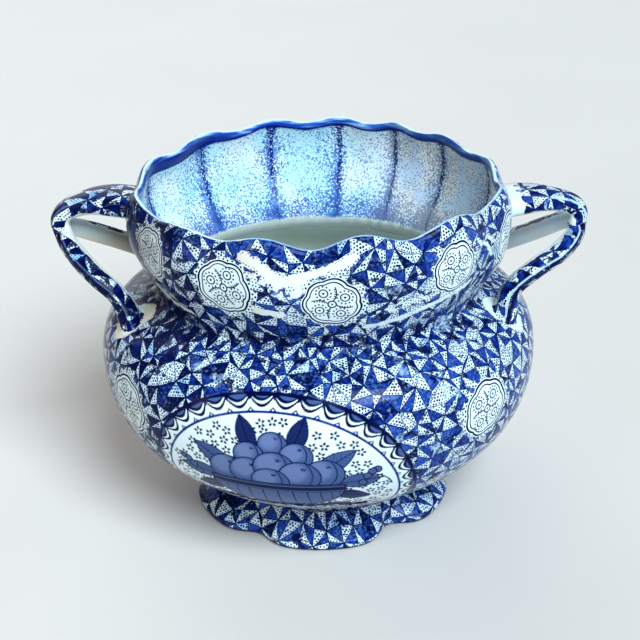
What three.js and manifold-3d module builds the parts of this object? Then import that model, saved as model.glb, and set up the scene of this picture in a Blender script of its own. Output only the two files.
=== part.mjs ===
// A two-handled jardiniere of blue and white earthenware, in millimetres, with +Z up.
// It stands on z = 0 round the Z axis. The handles lie along X and the front faces -Y.
// Each mesh is one piece of clay, as a potter sticks the pot up before firing: a scalloped foot
// ring, a bowl, a lobed collar, and for each handle one arm that divides into two legs.

import * as THREE from "three";
import { mergeVertices } from "three/addons/utils/BufferGeometryUtils.js";
import Module from "manifold-3d";

const wasm = await Module();
wasm.setup();

// Foot ring: round where it meets the bowl, with lobes that swell towards the table.
const FOOT_HEIGHT = 17;
const FOOT_TOP_RADIUS = 68.5;
const FOOT_BOTTOM_RADIUS = 74;
const FOOT_LOBES = 6;
const FOOT_LOBE_DEPTH = 9.5;
const FOOT_BORE_RADIUS = 60;
const FOOT_SKIRT_HEIGHT = 4.5;
const FOOT_EDGE_ROUND = 2;
const SKIRT_FLARE = 2;
const SKIRT_ROUND = 5;

// Bowl: swells from the foot to the belly, then turns in over the shoulder to the waist.
const BELLY_RADIUS = 135;
const BELLY_HEIGHT = 104;
const WAIST_RADIUS = 100;
const WAIST_HEIGHT = 146;
const WALL = 6;
const FLOOR_THICKNESS = 8;
const FLOOR_CORNER = 5;
const FLOOR_SWEEP = 15;
const HIP_RISE = 15;
const HIP_REACH = 10;
const BELLY_ROUND_BELOW = 58;
const BELLY_ROUND_ABOVE = 36;
const SHOULDER_REACH = 1.5;
const SHOULDER_DROP = 7;

// Collar: bulges above the waist and draws in to a wavy rim.
const COLLAR_RADIUS = 115.5;
const COLLAR_HEIGHT = 190;
const WAIST_ROUND = 8;
const COLLAR_ROUND = 20;
const LIP_ROUND = 10;
const RIM_RADIUS = 111;
const RIM_HEIGHT = 212;
const RIM_LOBES = 12;
const RIM_LOBE_DEPTH = 1.6;
const RIM_WAVE = 1.8;
const RIM_SAG = 3;
const LIP_WIDTH = 5;

// Handles: a flat arm leaves the collar, turns down at the crown and divides into two legs.
const HANDLE_OVERHANG = 23;
const ARM_ROOT_HEIGHT = 194;
const ARM_TOP_HEIGHT = 196;
const SPLIT_HEIGHT = 181;
const ARM_ROOT_WIDTH = 29;
const ARM_ROOT_THICKNESS = 10;
const ARM_THICKNESS = 8.5;
const ROOT_SINK = 9;
const LEG_TOP_WIDTH = 9;
const LEG_WIDTH = 13;
const LEG_DEPTH = 11;
const LEG_FOOT_DROP = 10;
const LEG_SPREAD = 17.5;
const LEG_FOOT_WIDTH = 23;
const LEG_FOOT_DEPTH = 16;

// The arm's middle line over the crown: [share of the way from the collar out to the full reach,
// share of the way from the arm's top height down to the split].
const ARM_PATH = [
  [0.15, 0.01],
  [0.5, 0.05],
  [0.82, 0.33],
  [0.985, 0.67],
  [1, 1.28],
];

// A leg's middle line, in shares of its way from its foot on the shoulder (0) up to the split (1):
// [outwards along X, towards the middle along Y, upwards along Z].
const LEG_PATH = [
  [1, 1, 1.1],
  [0.99, 0.97, 0.96],
  [0.84, 0.75, 0.83],
  [0.6, 0.43, 0.67],
  [0.35, 0.19, 0.51],
  [0.15, 0.06, 0.27],
  [0, 0, 0],
  [-0.1, -0.02, -0.25],
];

// The film of slip and glaze that stands between two pieces with curved meeting faces.
const LUTE_GAP = 0.3;

// How square a strap is: 1 is an ellipse and 0 an oblong.
const CORNER_SHARPNESS = 0.7;

// Fineness of the facets.
const ROUND_SEGMENTS = 72;
const STRAP_SIDES = 12;
const STRAP_STEPS = 13;

const DEGREE = Math.PI / 180;
const { lerp } = THREE.MathUtils;

const printedGlaze = new THREE.MeshStandardMaterial({ color: 0x54669e, roughness: 0.15, metalness: 0 });
const collarGlaze = new THREE.MeshStandardMaterial({ color: 0x6b80b2, roughness: 0.15, metalness: 0 });
const handleGlaze = new THREE.MeshStandardMaterial({ color: 0x737da8, roughness: 0.15, metalness: 0 });

// A mesh with its seam closed and without the triangles that shrink to nothing on the axis.
function closed(geometry) {
  const bare = geometry.clone();
  bare.deleteAttribute("normal");
  bare.deleteAttribute("uv");
  const merged = mergeVertices(bare, 1e-3);
  const faces = [];
  const index = merged.index.array;
  for (let i = 0; i < index.length; i += 3) {
    const [a, b, c] = index.slice(i, i + 3);
    if (a !== b && b !== c && c !== a) faces.push(a, b, c);
  }
  merged.setIndex(faces);
  merged.computeVertexNormals();
  return merged;
}

// A closed mesh as a solid that can be cut.
function solidOf(geometry) {
  return new wasm.Manifold(
    new wasm.Mesh({
      numProp: 3,
      vertProperties: new Float32Array(geometry.attributes.position.array),
      triVerts: new Uint32Array(geometry.index.array),
    }),
  );
}

// A cut solid as a mesh geometry again.
function geometryOf(solid) {
  const mesh = solid.getMesh();
  const geometry = new THREE.BufferGeometry();
  geometry.setAttribute("position", new THREE.BufferAttribute(mesh.vertProperties, 3));
  geometry.setIndex(new THREE.BufferAttribute(mesh.triVerts, 1));
  geometry.computeVertexNormals();
  return geometry;
}

// Turns a profile of (radius, height) points round Z. The angle is 0 at the front, on -Y.
// shape(point, angle) may move a vertex in and out or up and down, to raise lobes.
function turned(profile, shape) {
  const geometry = new THREE.LatheGeometry(profile, ROUND_SEGMENTS);
  geometry.rotateX(Math.PI / 2);
  const position = geometry.attributes.position;
  for (let i = 0; i < position.count; i++) {
    const row = i % profile.length;
    const step = Math.floor(i / profile.length) % ROUND_SEGMENTS;
    const angle = (step / ROUND_SEGMENTS) * 2 * Math.PI;
    const point = profile[row].clone();
    if (shape && point.x > 0) shape(point, angle);
    position.setXYZ(i, point.x * Math.sin(angle), -point.x * Math.cos(angle), point.y);
  }
  return closed(geometry);
}

// The points of a profile moved along its own normal, to the left of its direction of travel.
function offset(points, distance) {
  return points.map((point, i) => {
    const before = points[Math.max(i - 1, 0)];
    const after = points[Math.min(i + 1, points.length - 1)];
    const along = after.clone().sub(before).normalize();
    return new THREE.Vector2(point.x - along.y * distance, point.y + along.x * distance);
  });
}

function smooth(from, to, value) {
  return THREE.MathUtils.smoothstep(value, from, to);
}

// The radius of a profile at a height.
function radiusAt(profile, height) {
  const above = profile.findIndex((point) => point.y >= height);
  const [low, high] = [profile[above - 1], profile[above]];
  return lerp(low.x, high.x, (height - low.y) / (high.y - low.y));
}

// The bowl's outside, from the foot ring up to the waist.
function bowlOutside() {
  const hip = new THREE.CubicBezierCurve(
    new THREE.Vector2(FOOT_TOP_RADIUS, FOOT_HEIGHT),
    new THREE.Vector2(FOOT_TOP_RADIUS + HIP_REACH, FOOT_HEIGHT + HIP_RISE),
    new THREE.Vector2(BELLY_RADIUS, BELLY_HEIGHT - BELLY_ROUND_BELOW),
    new THREE.Vector2(BELLY_RADIUS, BELLY_HEIGHT),
  );
  const shoulder = new THREE.CubicBezierCurve(
    new THREE.Vector2(BELLY_RADIUS, BELLY_HEIGHT),
    new THREE.Vector2(BELLY_RADIUS, BELLY_HEIGHT + BELLY_ROUND_ABOVE),
    new THREE.Vector2(WAIST_RADIUS + SHOULDER_REACH, WAIST_HEIGHT - SHOULDER_DROP),
    new THREE.Vector2(WAIST_RADIUS, WAIST_HEIGHT),
  );
  return [...hip.getSpacedPoints(8), ...shoulder.getSpacedPoints(6).slice(1)];
}

// The collar's outside, from the waist up to where the lip begins to round over.
function collarOutside() {
  const bulge = new THREE.CubicBezierCurve(
    new THREE.Vector2(WAIST_RADIUS, WAIST_HEIGHT),
    new THREE.Vector2(WAIST_RADIUS, WAIST_HEIGHT + WAIST_ROUND),
    new THREE.Vector2(COLLAR_RADIUS, COLLAR_HEIGHT - COLLAR_ROUND),
    new THREE.Vector2(COLLAR_RADIUS, COLLAR_HEIGHT),
  );
  const lip = new THREE.QuadraticBezierCurve(
    new THREE.Vector2(COLLAR_RADIUS, COLLAR_HEIGHT),
    new THREE.Vector2(COLLAR_RADIUS, COLLAR_HEIGHT + LIP_ROUND),
    new THREE.Vector2(RIM_RADIUS, RIM_HEIGHT - LIP_WIDTH / 2),
  );
  return [...bulge.getSpacedPoints(5), ...lip.getSpacedPoints(2).slice(1)];
}

// Raises the collar's lobes, which grow from nothing at the waist to the full wave at the rim, and
// lowers the rim a little towards the handles.
function raiseCollarLobes(point, angle) {
  const wave = -Math.cos(RIM_LOBES * angle);
  const share = smooth(WAIST_HEIGHT, COLLAR_HEIGHT, point.y);
  const crest = smooth(COLLAR_HEIGHT, RIM_HEIGHT - LIP_WIDTH / 2, point.y);
  point.x += RIM_LOBE_DEPTH * wave * share;
  point.y += (RIM_WAVE * wave - RIM_SAG * Math.sin(angle) ** 2) * crest;
}

// Raises the foot ring's lobes on the rows outside its bore, most at the table.
function raiseFootLobes(point, angle) {
  if (point.x <= FOOT_BORE_RADIUS + FOOT_EDGE_ROUND) return;
  const share = 1 - smooth(FOOT_SKIRT_HEIGHT, FOOT_HEIGHT, point.y);
  point.x += FOOT_LOBE_DEPTH * Math.abs(Math.cos((FOOT_LOBES / 2) * angle)) * share;
}

function footRing() {
  const skirt = new THREE.CubicBezierCurve(
    new THREE.Vector2(FOOT_BOTTOM_RADIUS, FOOT_SKIRT_HEIGHT),
    new THREE.Vector2(FOOT_BOTTOM_RADIUS - SKIRT_FLARE, FOOT_SKIRT_HEIGHT + SKIRT_ROUND),
    new THREE.Vector2(FOOT_TOP_RADIUS, FOOT_HEIGHT - SKIRT_ROUND),
    new THREE.Vector2(FOOT_TOP_RADIUS, FOOT_HEIGHT),
  );
  const edge = FOOT_EDGE_ROUND * (1 - Math.SQRT1_2);
  const profile = [
    new THREE.Vector2(FOOT_BORE_RADIUS, FOOT_HEIGHT),
    new THREE.Vector2(FOOT_BORE_RADIUS, FOOT_EDGE_ROUND),
    new THREE.Vector2(FOOT_BORE_RADIUS + FOOT_EDGE_ROUND, 0),
    new THREE.Vector2(FOOT_BOTTOM_RADIUS - FOOT_EDGE_ROUND, 0),
    new THREE.Vector2(FOOT_BOTTOM_RADIUS - edge, edge),
    ...skirt.getSpacedPoints(4),
    new THREE.Vector2(FOOT_BORE_RADIUS, FOOT_HEIGHT),
  ];
  return turned(profile, raiseFootLobes);
}

function bowl() {
  const outside = bowlOutside();
  const floor = FOOT_HEIGHT + FLOOR_THICKNESS;
  const inside = offset(outside, WALL).filter((point) => point.y > floor + FLOOR_CORNER);
  inside[inside.length - 1] = new THREE.Vector2(WAIST_RADIUS - WALL, WAIST_HEIGHT);
  const [lowest] = inside;
  const corner = new THREE.QuadraticBezierCurve(
    lowest,
    new THREE.Vector2(lowest.x - FLOOR_CORNER, floor),
    new THREE.Vector2(lowest.x - FLOOR_SWEEP, floor),
  );
  const profile = [
    new THREE.Vector2(0, FOOT_HEIGHT),
    ...outside,
    ...inside.reverse(),
    ...corner.getPoints(3).slice(1),
    new THREE.Vector2(0, floor),
  ];
  return turned(profile);
}

function collar() {
  const outside = collarOutside();
  const inside = offset(outside, WALL);
  const lipHeight = RIM_HEIGHT - LIP_WIDTH / 2;
  inside[0] = new THREE.Vector2(WAIST_RADIUS - WALL, WAIST_HEIGHT);
  inside[inside.length - 1] = new THREE.Vector2(RIM_RADIUS - LIP_WIDTH, lipHeight);
  const lip = [45, 90, 135].map((degrees) => {
    const turn = degrees * DEGREE;
    return new THREE.Vector2(
      RIM_RADIUS - (LIP_WIDTH / 2) * (1 - Math.cos(turn)),
      lipHeight + (LIP_WIDTH / 2) * Math.sin(turn),
    );
  });
  const profile = [...outside, ...lip, ...inside.reverse(), outside[0].clone()];
  return turned(profile, raiseCollarLobes);
}

// The pot as one filled shape, grown by the lute gap: what an arm or a leg is cut back to.
function filledPot() {
  const grown = [...offset(bowlOutside(), -LUTE_GAP), ...offset(collarOutside(), -LUTE_GAP).slice(1)];
  const profile = [
    new THREE.Vector2(0, FOOT_HEIGHT),
    ...grown,
    new THREE.Vector2(RIM_RADIUS - LIP_WIDTH / 2, RIM_HEIGHT + LIP_WIDTH),
    new THREE.Vector2(0, RIM_HEIGHT + LIP_WIDTH),
  ];
  return solidOf(turned(profile, raiseCollarLobes));
}

// Sweeps a rounded oblong along a curve. sizeAt(share) gives the section's full width, which lies
// along Y, and its depth, both at that share of the length.
function strap(curve, sizeAt) {
  const points = [];
  for (let i = 0; i <= STRAP_STEPS; i++) {
    const share = i / STRAP_STEPS;
    const centre = curve.getPointAt(share);
    const along = curve.getTangentAt(share);
    const across = new THREE.Vector3(0, 1, 0).addScaledVector(along, -along.y).normalize();
    const out = new THREE.Vector3().crossVectors(along, across);
    const [width, depth] = sizeAt(share);
    for (let k = 0; k < STRAP_SIDES; k++) {
      const turn = ((k + 0.5) / STRAP_SIDES) * 2 * Math.PI;
      const x = (squared(Math.cos(turn)) * width) / 2;
      const y = (squared(Math.sin(turn)) * depth) / 2;
      points.push(centre.clone().addScaledVector(across, x).addScaledVector(out, y));
    }
  }
  const faces = [];
  const last = STRAP_STEPS * STRAP_SIDES;
  for (let start = 0; start < last; start += STRAP_SIDES)
    for (let k = 0; k < STRAP_SIDES; k++) {
      const a = start + k;
      const b = start + ((k + 1) % STRAP_SIDES);
      faces.push(a, b, a + STRAP_SIDES, b, b + STRAP_SIDES, a + STRAP_SIDES);
    }
  for (let k = 1; k < STRAP_SIDES - 1; k++) {
    faces.push(0, k + 1, k);
    faces.push(last, last + k, last + k + 1);
  }
  const geometry = new THREE.BufferGeometry().setFromPoints(points);
  geometry.setIndex(faces);
  return geometry;
}

// Pushes a sine or cosine outwards, so that a circle becomes a square with round corners.
function squared(value) {
  return Math.sign(value) * Math.abs(value) ** CORNER_SHARPNESS;
}

// How far the handle's middle line stands from the pot's axis.
function handleReach() {
  return BELLY_RADIUS + HANDLE_OVERHANG;
}

// The right handle's arm: from inside the collar, out over the crown and down to the split.
function arm(pot) {
  const curve = new THREE.CatmullRomCurve3([
    new THREE.Vector3(COLLAR_RADIUS - ROOT_SINK, 0, ARM_ROOT_HEIGHT),
    ...ARM_PATH.map(
      ([out, down]) =>
        new THREE.Vector3(
          lerp(COLLAR_RADIUS, handleReach(), out),
          0,
          lerp(ARM_TOP_HEIGHT, SPLIT_HEIGHT, down),
        ),
    ),
  ]);
  const endWidth = 2 * LEG_TOP_WIDTH + LUTE_GAP;
  const sizeAt = (share) => {
    const root = 1 - smooth(0.1, 0.55, share);
    const crown = smooth(0.55, 0.95, share);
    return [
      lerp(endWidth, ARM_ROOT_WIDTH, root),
      lerp(lerp(ARM_THICKNESS, ARM_ROOT_THICKNESS, root), LEG_DEPTH, crown),
    ];
  };
  return solidOf(strap(curve, sizeAt)).subtract(pot).trimByPlane([0, 0, 1], SPLIT_HEIGHT);
}

// One leg of the right handle. side is -1 for the front leg and +1 for the back leg.
function leg(pot, side) {
  const footHeight = WAIST_HEIGHT - LEG_FOOT_DROP;
  const footRadius = radiusAt(bowlOutside(), footHeight);
  const footX = footRadius * Math.cos(LEG_SPREAD * DEGREE);
  const footY = footRadius * Math.sin(LEG_SPREAD * DEGREE);
  const splitY = (LEG_TOP_WIDTH + LUTE_GAP) / 2;
  const curve = new THREE.CatmullRomCurve3(
    LEG_PATH.map(
      ([out, inwards, up]) =>
        new THREE.Vector3(
          lerp(footX, handleReach(), out),
          side * lerp(footY, splitY, inwards),
          lerp(footHeight, SPLIT_HEIGHT, up),
        ),
    ),
  );
  const sizeAt = (share) => {
    const free = smooth(0.08, 0.35, share);
    const spread = smooth(0.55, 0.95, share);
    return [
      lerp(lerp(LEG_TOP_WIDTH, LEG_WIDTH, free), LEG_FOOT_WIDTH, spread),
      lerp(LEG_DEPTH, LEG_FOOT_DEPTH, spread),
    ];
  };
  return solidOf(strap(curve, sizeAt))
    .subtract(pot)
    .trimByPlane([0, 0, -1], LUTE_GAP - SPLIT_HEIGHT)
    .trimByPlane([0, side, 0], LUTE_GAP / 2);
}

function piece(name, geometry, material) {
  const mesh = new THREE.Mesh(geometry, material);
  mesh.name = name;
  return mesh;
}

// A handle's three pieces. The left one is the right one turned half round the pot's axis, which
// makes the right one's front leg the left one's back leg.
function handle(side, pot) {
  const group = new THREE.Group();
  const [front, back] = side === "right" ? [-1, 1] : [1, -1];
  group.add(piece(`handle_${side}_arm`, geometryOf(arm(pot)), handleGlaze));
  group.add(piece(`handle_${side}_front_leg`, geometryOf(leg(pot, front)), handleGlaze));
  group.add(piece(`handle_${side}_back_leg`, geometryOf(leg(pot, back)), handleGlaze));
  if (side === "left") group.rotation.z = Math.PI;
  return group;
}

const pot = filledPot();
const jardiniere = new THREE.Group();
jardiniere.add(piece("foot_ring", footRing(), printedGlaze));
jardiniere.add(piece("bowl", bowl(), printedGlaze));
jardiniere.add(piece("collar", collar(), collarGlaze));
jardiniere.add(handle("right", pot));
jardiniere.add(handle("left", pot));

export default jardiniere;
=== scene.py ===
"""A two-handled blue and white jardiniere on a pale floor. Sizes are in millimetres until a mesh is made."""
import math

import bpy
import numpy as np
from mathutils import Matrix, Vector


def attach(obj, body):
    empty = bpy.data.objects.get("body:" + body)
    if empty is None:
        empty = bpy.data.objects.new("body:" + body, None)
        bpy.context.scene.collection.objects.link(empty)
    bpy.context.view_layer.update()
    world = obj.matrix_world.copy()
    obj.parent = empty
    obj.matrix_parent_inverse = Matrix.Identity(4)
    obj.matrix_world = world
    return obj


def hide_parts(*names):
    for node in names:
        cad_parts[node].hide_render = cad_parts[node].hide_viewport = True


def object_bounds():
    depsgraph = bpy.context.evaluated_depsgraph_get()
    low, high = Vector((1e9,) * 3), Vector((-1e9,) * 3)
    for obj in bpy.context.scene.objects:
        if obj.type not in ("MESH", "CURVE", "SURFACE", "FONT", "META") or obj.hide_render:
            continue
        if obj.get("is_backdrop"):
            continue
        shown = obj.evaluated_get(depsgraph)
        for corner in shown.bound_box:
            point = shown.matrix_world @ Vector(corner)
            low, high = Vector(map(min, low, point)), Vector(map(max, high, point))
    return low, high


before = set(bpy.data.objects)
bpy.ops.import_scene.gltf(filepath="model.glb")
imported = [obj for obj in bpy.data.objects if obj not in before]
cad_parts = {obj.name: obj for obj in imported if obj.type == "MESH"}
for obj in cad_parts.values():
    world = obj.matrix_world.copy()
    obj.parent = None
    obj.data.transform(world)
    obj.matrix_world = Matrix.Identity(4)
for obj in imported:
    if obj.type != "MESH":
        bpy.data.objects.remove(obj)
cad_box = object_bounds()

MM = 0.001
DEGREE = math.pi / 180
rng = np.random.default_rng(7)

# Sizes of the pot, as in the CAD part, apart from the foot's swell, which is 0.1 mm more.
FOOT_HEIGHT = 17
FOOT_TOP_RADIUS = 68.5
FOOT_BOTTOM_RADIUS = 74
FOOT_BORE_RADIUS = 60
FOOT_SWELL = 9.6
SKIRT_HEIGHT = 4.5
BELLY_RADIUS = 135
BELLY_HEIGHT = 104
WAIST_RADIUS = 100
WAIST_HEIGHT = 146
COLLAR_RADIUS = 115.5
COLLAR_HEIGHT = 190
RIM_RADIUS = 111
LIP_HEIGHT = 209.5
WALL = 6
LIP_WALL = 5
FLOOR_HEIGHT = 25
RIM_LOBE_DEPTH = 1.6
RIM_WAVE = 1.8
RIM_SAG = 3

# The pot's outline: the control points, as (radius, height), of its curves from the table upwards.
FOOT_EDGE = [(FOOT_BOTTOM_RADIUS - 2.5, 0), (74.4, 0), (FOOT_BOTTOM_RADIUS, SKIRT_HEIGHT)]
FOOT_SKIRT = [FOOT_EDGE[-1], (72, 9.5), (FOOT_TOP_RADIUS, 12), (FOOT_TOP_RADIUS, FOOT_HEIGHT)]
HIP = [FOOT_SKIRT[-1], (78.5, 32), (BELLY_RADIUS, 46), (BELLY_RADIUS, BELLY_HEIGHT)]
SHOULDER = [HIP[-1], (BELLY_RADIUS, 140), (101.5, 139), (WAIST_RADIUS, WAIST_HEIGHT)]
BULGE = [SHOULDER[-1], (WAIST_RADIUS, 154), (COLLAR_RADIUS, 170), (COLLAR_RADIUS, COLLAR_HEIGHT)]
LIP = [BULGE[-1], (COLLAR_RADIUS, 200), (RIM_RADIUS, LIP_HEIGHT)]

# Where the hand put the crests of the rim, in degrees from the front, and the notches between the
# foot's lobes, as (angle, depth, half width).
RIM_CRESTS = [-164.5, -138, -108, -75, -45, -17, 11.5, 44, 75, 105, 131.5, 151.5, 171.5]
FOOT_NOTCHES = [(-150, 9, 9), (-90, 9, 9), (-31.5, 8, 9), (33, 12.5, 10), (90, 9, 9), (150, 9, 9)]

# Colours of the glaze and the print, as linear red, green and blue.
WHITE = (0.72, 0.87, 0.94)
CREAM = (0.72, 0.69, 0.58)
PALE = (0.26, 0.50, 0.80)
BRIGHT = (0.022, 0.070, 0.36)
COBALT = (0.004, 0.024, 0.19)
NAVY = (0.001, 0.005, 0.055)
SLATE = (0.070, 0.125, 0.30)
DUSK = (0.012, 0.03, 0.13)
INK = (0.001, 0.005, 0.06)
DEEP = (0.004, 0.02, 0.22)
DOT_INK = (0.002, 0.012, 0.12)
# A grey for the painted shade on the pot's left side.
SHADE_GREY = (0.36, 0.37, 0.35)

# Distances in the print, in mm, and the number of beads round a roundel.
DOT_PITCH = 1.8
STRAP_PITCH = 10.5
LOBE_WIDTH = 52
ROUNDEL_EDGE = 17.8
FLORETS_OUT = 9.4
BEADS_ROUND = 36
BEAD_ROW = 1.7
FAR_OFF = 99.0


# Curves and skins


def smooth(low, high, value):
    share = np.clip((value - low) / (high - low), 0, 1)
    return share * share * (3 - 2 * share)


def bump(value, middle, width):
    """A bell: 1 in its middle, and near 0 beyond twice its width."""
    return np.exp(-(((value - middle) / width) ** 2))


def wrapped(angle):
    """An angle brought to within half a turn of 0."""
    return (angle + math.pi) % (2 * math.pi) - math.pi


def unit(vectors):
    return vectors / np.linalg.norm(vectors, axis=1)[:, None]


def lengths_along(path):
    """How far along a path each of its points lies."""
    return np.concatenate([[0], np.cumsum(np.linalg.norm(np.diff(path, axis=0), axis=1))])


def bezier(*points, steps=400):
    """Points along a Bezier curve of any degree."""
    share = np.linspace(0, 1, steps)[:, None]
    degree = len(points) - 1
    return sum(
        math.comb(degree, i) * (1 - share) ** (degree - i) * share**i * np.array(point, float)
        for i, point in enumerate(points)
    )


def joined(*paths):
    """Paths end to end, without their doubled points."""
    return np.concatenate([paths[0], *[path[1:] for path in paths[1:]]])


def moved_in(path, distance):
    """A profile moved to its left by a distance, which may vary along it."""
    along = unit(np.gradient(path, axis=0))
    return path + np.stack([-along[:, 1], along[:, 0]], 1) * np.reshape(distance, (-1, 1))


BOWL_OUTSIDE = joined(bezier(*HIP), bezier(*SHOULDER))
COLLAR_OUTSIDE = joined(bezier(*BULGE), bezier(*LIP))
COLLAR_HOLLOW = moved_in(COLLAR_OUTSIDE, np.linspace(WALL, LIP_WALL, len(COLLAR_OUTSIDE)))[::-1]


def lip_halves():
    """The rounded edge of the rim: from the outside up to the crest, and from there to the inside."""
    start, end, lift = COLLAR_OUTSIDE[-1], COLLAR_HOLLOW[0], np.array([-1.6, 3.6])
    lip = bezier(start, start + lift, end + lift, end)
    crest = lip[:, 1].argmax()
    return lip[: crest + 1], lip[crest:]


def unevenness(angle, height):
    """How far the hand moved the wall out, in mm: slow swells, puckers at the waist, a fuller right side."""
    slow = 0.35 * np.sin(2 * angle + 1.1) + 0.25 * np.sin(5 * angle + height / 31)
    pucker = np.sin(61 * angle + 2 * np.sin(7 * angle)) * bump(height, WAIST_HEIGHT + 1, 7)
    full = 3.4 * np.exp(-(((angle - 1.45) / 0.5) ** 2) - ((height - 164) / 12) ** 2)
    return slow * smooth(FOOT_HEIGHT, 60, height) + 0.35 * pucker + full


def lobe_turn(angle):
    """How many of the rim's lobes lie between its first crest and an angle."""
    crests = np.radians(RIM_CRESTS)
    marks = np.concatenate([crests[-1:] - 2 * math.pi, crests, crests[:1] + 2 * math.pi])
    return np.interp(wrapped(angle), marks, np.arange(-1, len(crests) + 1))


def rim_wave(angle):
    """The wave of the rim, from -1 in a dip to 1 on a crest, and lower towards the back."""
    size = 1 + 0.12 * np.sin(2 * angle + 0.6) - 0.15 * (1 - np.cos(angle))
    return np.cos(2 * math.pi * lobe_turn(angle)) * size


def foot_swell(angle):
    """How far the foot's lobes stand out at the table, in mm."""
    swell = FOOT_SWELL + 2.6 * np.cos(angle + 0.35) + 0.9 * np.cos(2 * angle + 0.7)
    for place, depth, half_width in FOOT_NOTCHES:
        swell = swell - depth * bump(wrapped(angle - place * DEGREE), 0, half_width * DEGREE)
    return swell


def lean(height):
    """How far the pot's middle stands to the right at a height, in mm: no two parts are quite in line."""
    return 2.0 * (1 - smooth(14, 70, height)) + 1.3 * smooth(110, 165, height)


def rim_rise(angle, height):
    """How far the wave and the sag of the rim lift a point: most in front, and more to its right."""
    turn = wrapped(angle)
    deeper = 1 + 1.25 * bump(turn, 0.25, 0.75)
    lift = 1.5 * bump(turn, 0.7, 0.45)
    rise = RIM_WAVE * rim_wave(angle) * deeper + lift - RIM_SAG * np.sin(angle) ** 2
    return rise * smooth(COLLAR_HEIGHT, LIP_HEIGHT, height)


def dressed(radius, height, angle):
    """The place of a point of the pot, with its lobes and the small faults of handwork."""
    skirt = (1 - smooth(SKIRT_HEIGHT, FOOT_HEIGHT, height)) * smooth(FOOT_BORE_RADIUS + 2, 70, radius)
    out = radius + RIM_LOBE_DEPTH * rim_wave(angle) * smooth(WAIST_HEIGHT, COLLAR_HEIGHT, height)
    out = out + foot_swell(angle) * skirt + unevenness(angle, height) * smooth(0, 30, radius)
    up = height + rim_rise(angle, height)
    return np.stack([out * np.sin(angle) + lean(height), -out * np.cos(angle), up], -1)


class Skin:
    """A surface turned from a profile. A point of it has an angle, 0 at the front, and a length along."""

    def __init__(self, profile):
        self.profile = profile
        self.marks = lengths_along(profile)
        self.length = self.marks[-1]

    def radius(self, along):
        return np.interp(along, self.marks, self.profile[:, 0])

    def height(self, along):
        return np.interp(along, self.marks, self.profile[:, 1])

    def at(self, angle, along):
        return dressed(self.radius(along), self.height(along), angle)

    def normal(self, angle, along):
        round_step, along_step = 0.002, 0.2
        low = np.clip(along - along_step, 0, self.length)
        high = np.clip(along + along_step, 0, self.length)
        across = self.at(angle + round_step, along) - self.at(angle - round_step, along)
        upward = self.at(angle, high) - self.at(angle, low)
        normal = np.cross(across, upward)
        size = np.linalg.norm(normal, axis=-1, keepdims=True)
        return normal / np.maximum(size, 1e-9)


LIP_OUTSIDE, LIP_INSIDE = lip_halves()
BOWL = Skin(BOWL_OUTSIDE)
COLLAR = Skin(joined(COLLAR_OUTSIDE, LIP_OUTSIDE))
COLLAR_INSIDE = Skin(joined(LIP_INSIDE, COLLAR_HOLLOW))
BODY = Skin(joined(BOWL_OUTSIDE, COLLAR_OUTSIDE))


# Sheets: parts of a mesh, each with what its corners know about the print


def blank_corners(count):
    """What a corner knows: distances to its triangle's edges, tones, dots, medallion and wrap."""
    return {name: np.zeros((count, 3, 3)) for name in ("edge", "tone", "dot", "medal", "wrap")}


def sheet(places, normals, faces, corners, slot=0, paint=None):
    """A part of a mesh, with its material's number and the painted colour and cover of its points."""
    return {
        "places": places,
        "normals": normals,
        "faces": faces,
        "corners": corners,
        "paint": np.zeros((len(places), 4)) if paint is None else paint,
        "slots": np.full(len(faces), slot),
    }


def skin_sheet(skin, angle, along, faces, corners, slot=0, paint=None):
    """A sheet that lies on a skin, at points given by their angle and length along."""
    corners["wrap"] = np.stack([angle, along, skin.height(along)], -1)[faces]
    return sheet(skin.at(angle, along), skin.normal(angle, along), faces, corners, slot, paint)


def cells(index):
    """The four corners of each cell of a grid of numbers, in turn round it."""
    return index[:-1, :-1], index[:-1, 1:], index[1:, 1:], index[1:, :-1]


def grid(skin, columns, rows):
    """An even net of triangles on an unprinted skin, which has a piece's second material."""
    angle = np.linspace(-math.pi, math.pi, columns + 1)
    angles, alongs = np.meshgrid(angle, np.linspace(0, skin.length, rows + 1))
    a, b, c, d = cells(np.arange(angles.size).reshape(angles.shape))
    faces = np.concatenate([np.stack([a, b, c], -1).reshape(-1, 3), np.stack([a, c, d], -1).reshape(-1, 3)])
    corners = blank_corners(len(faces))
    corners["tone"][..., 0] = lobe_turn(angles.ravel())[faces]
    return skin_sheet(skin, angles.ravel(), alongs.ravel(), faces, corners, slot=1)


def lattice(fineness):
    """A triangle cut evenly into smaller ones: its points as shares of the three corners, and faces."""
    points = [(i, j) for i in range(fineness + 1) for j in range(fineness + 1 - i)]
    number = {point: k for k, point in enumerate(points)}
    shares = [((fineness - i - j) / fineness, i / fineness, j / fineness) for i, j in points]
    faces = []
    for i, j in points:
        if i + j < fineness:
            faces.append([number[i, j], number[i + 1, j], number[i, j + 1]])
        if i + j < fineness - 1:
            faces.append([number[i + 1, j], number[i + 1, j + 1], number[i, j + 1]])
    return np.array(shares), np.array(faces)


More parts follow.
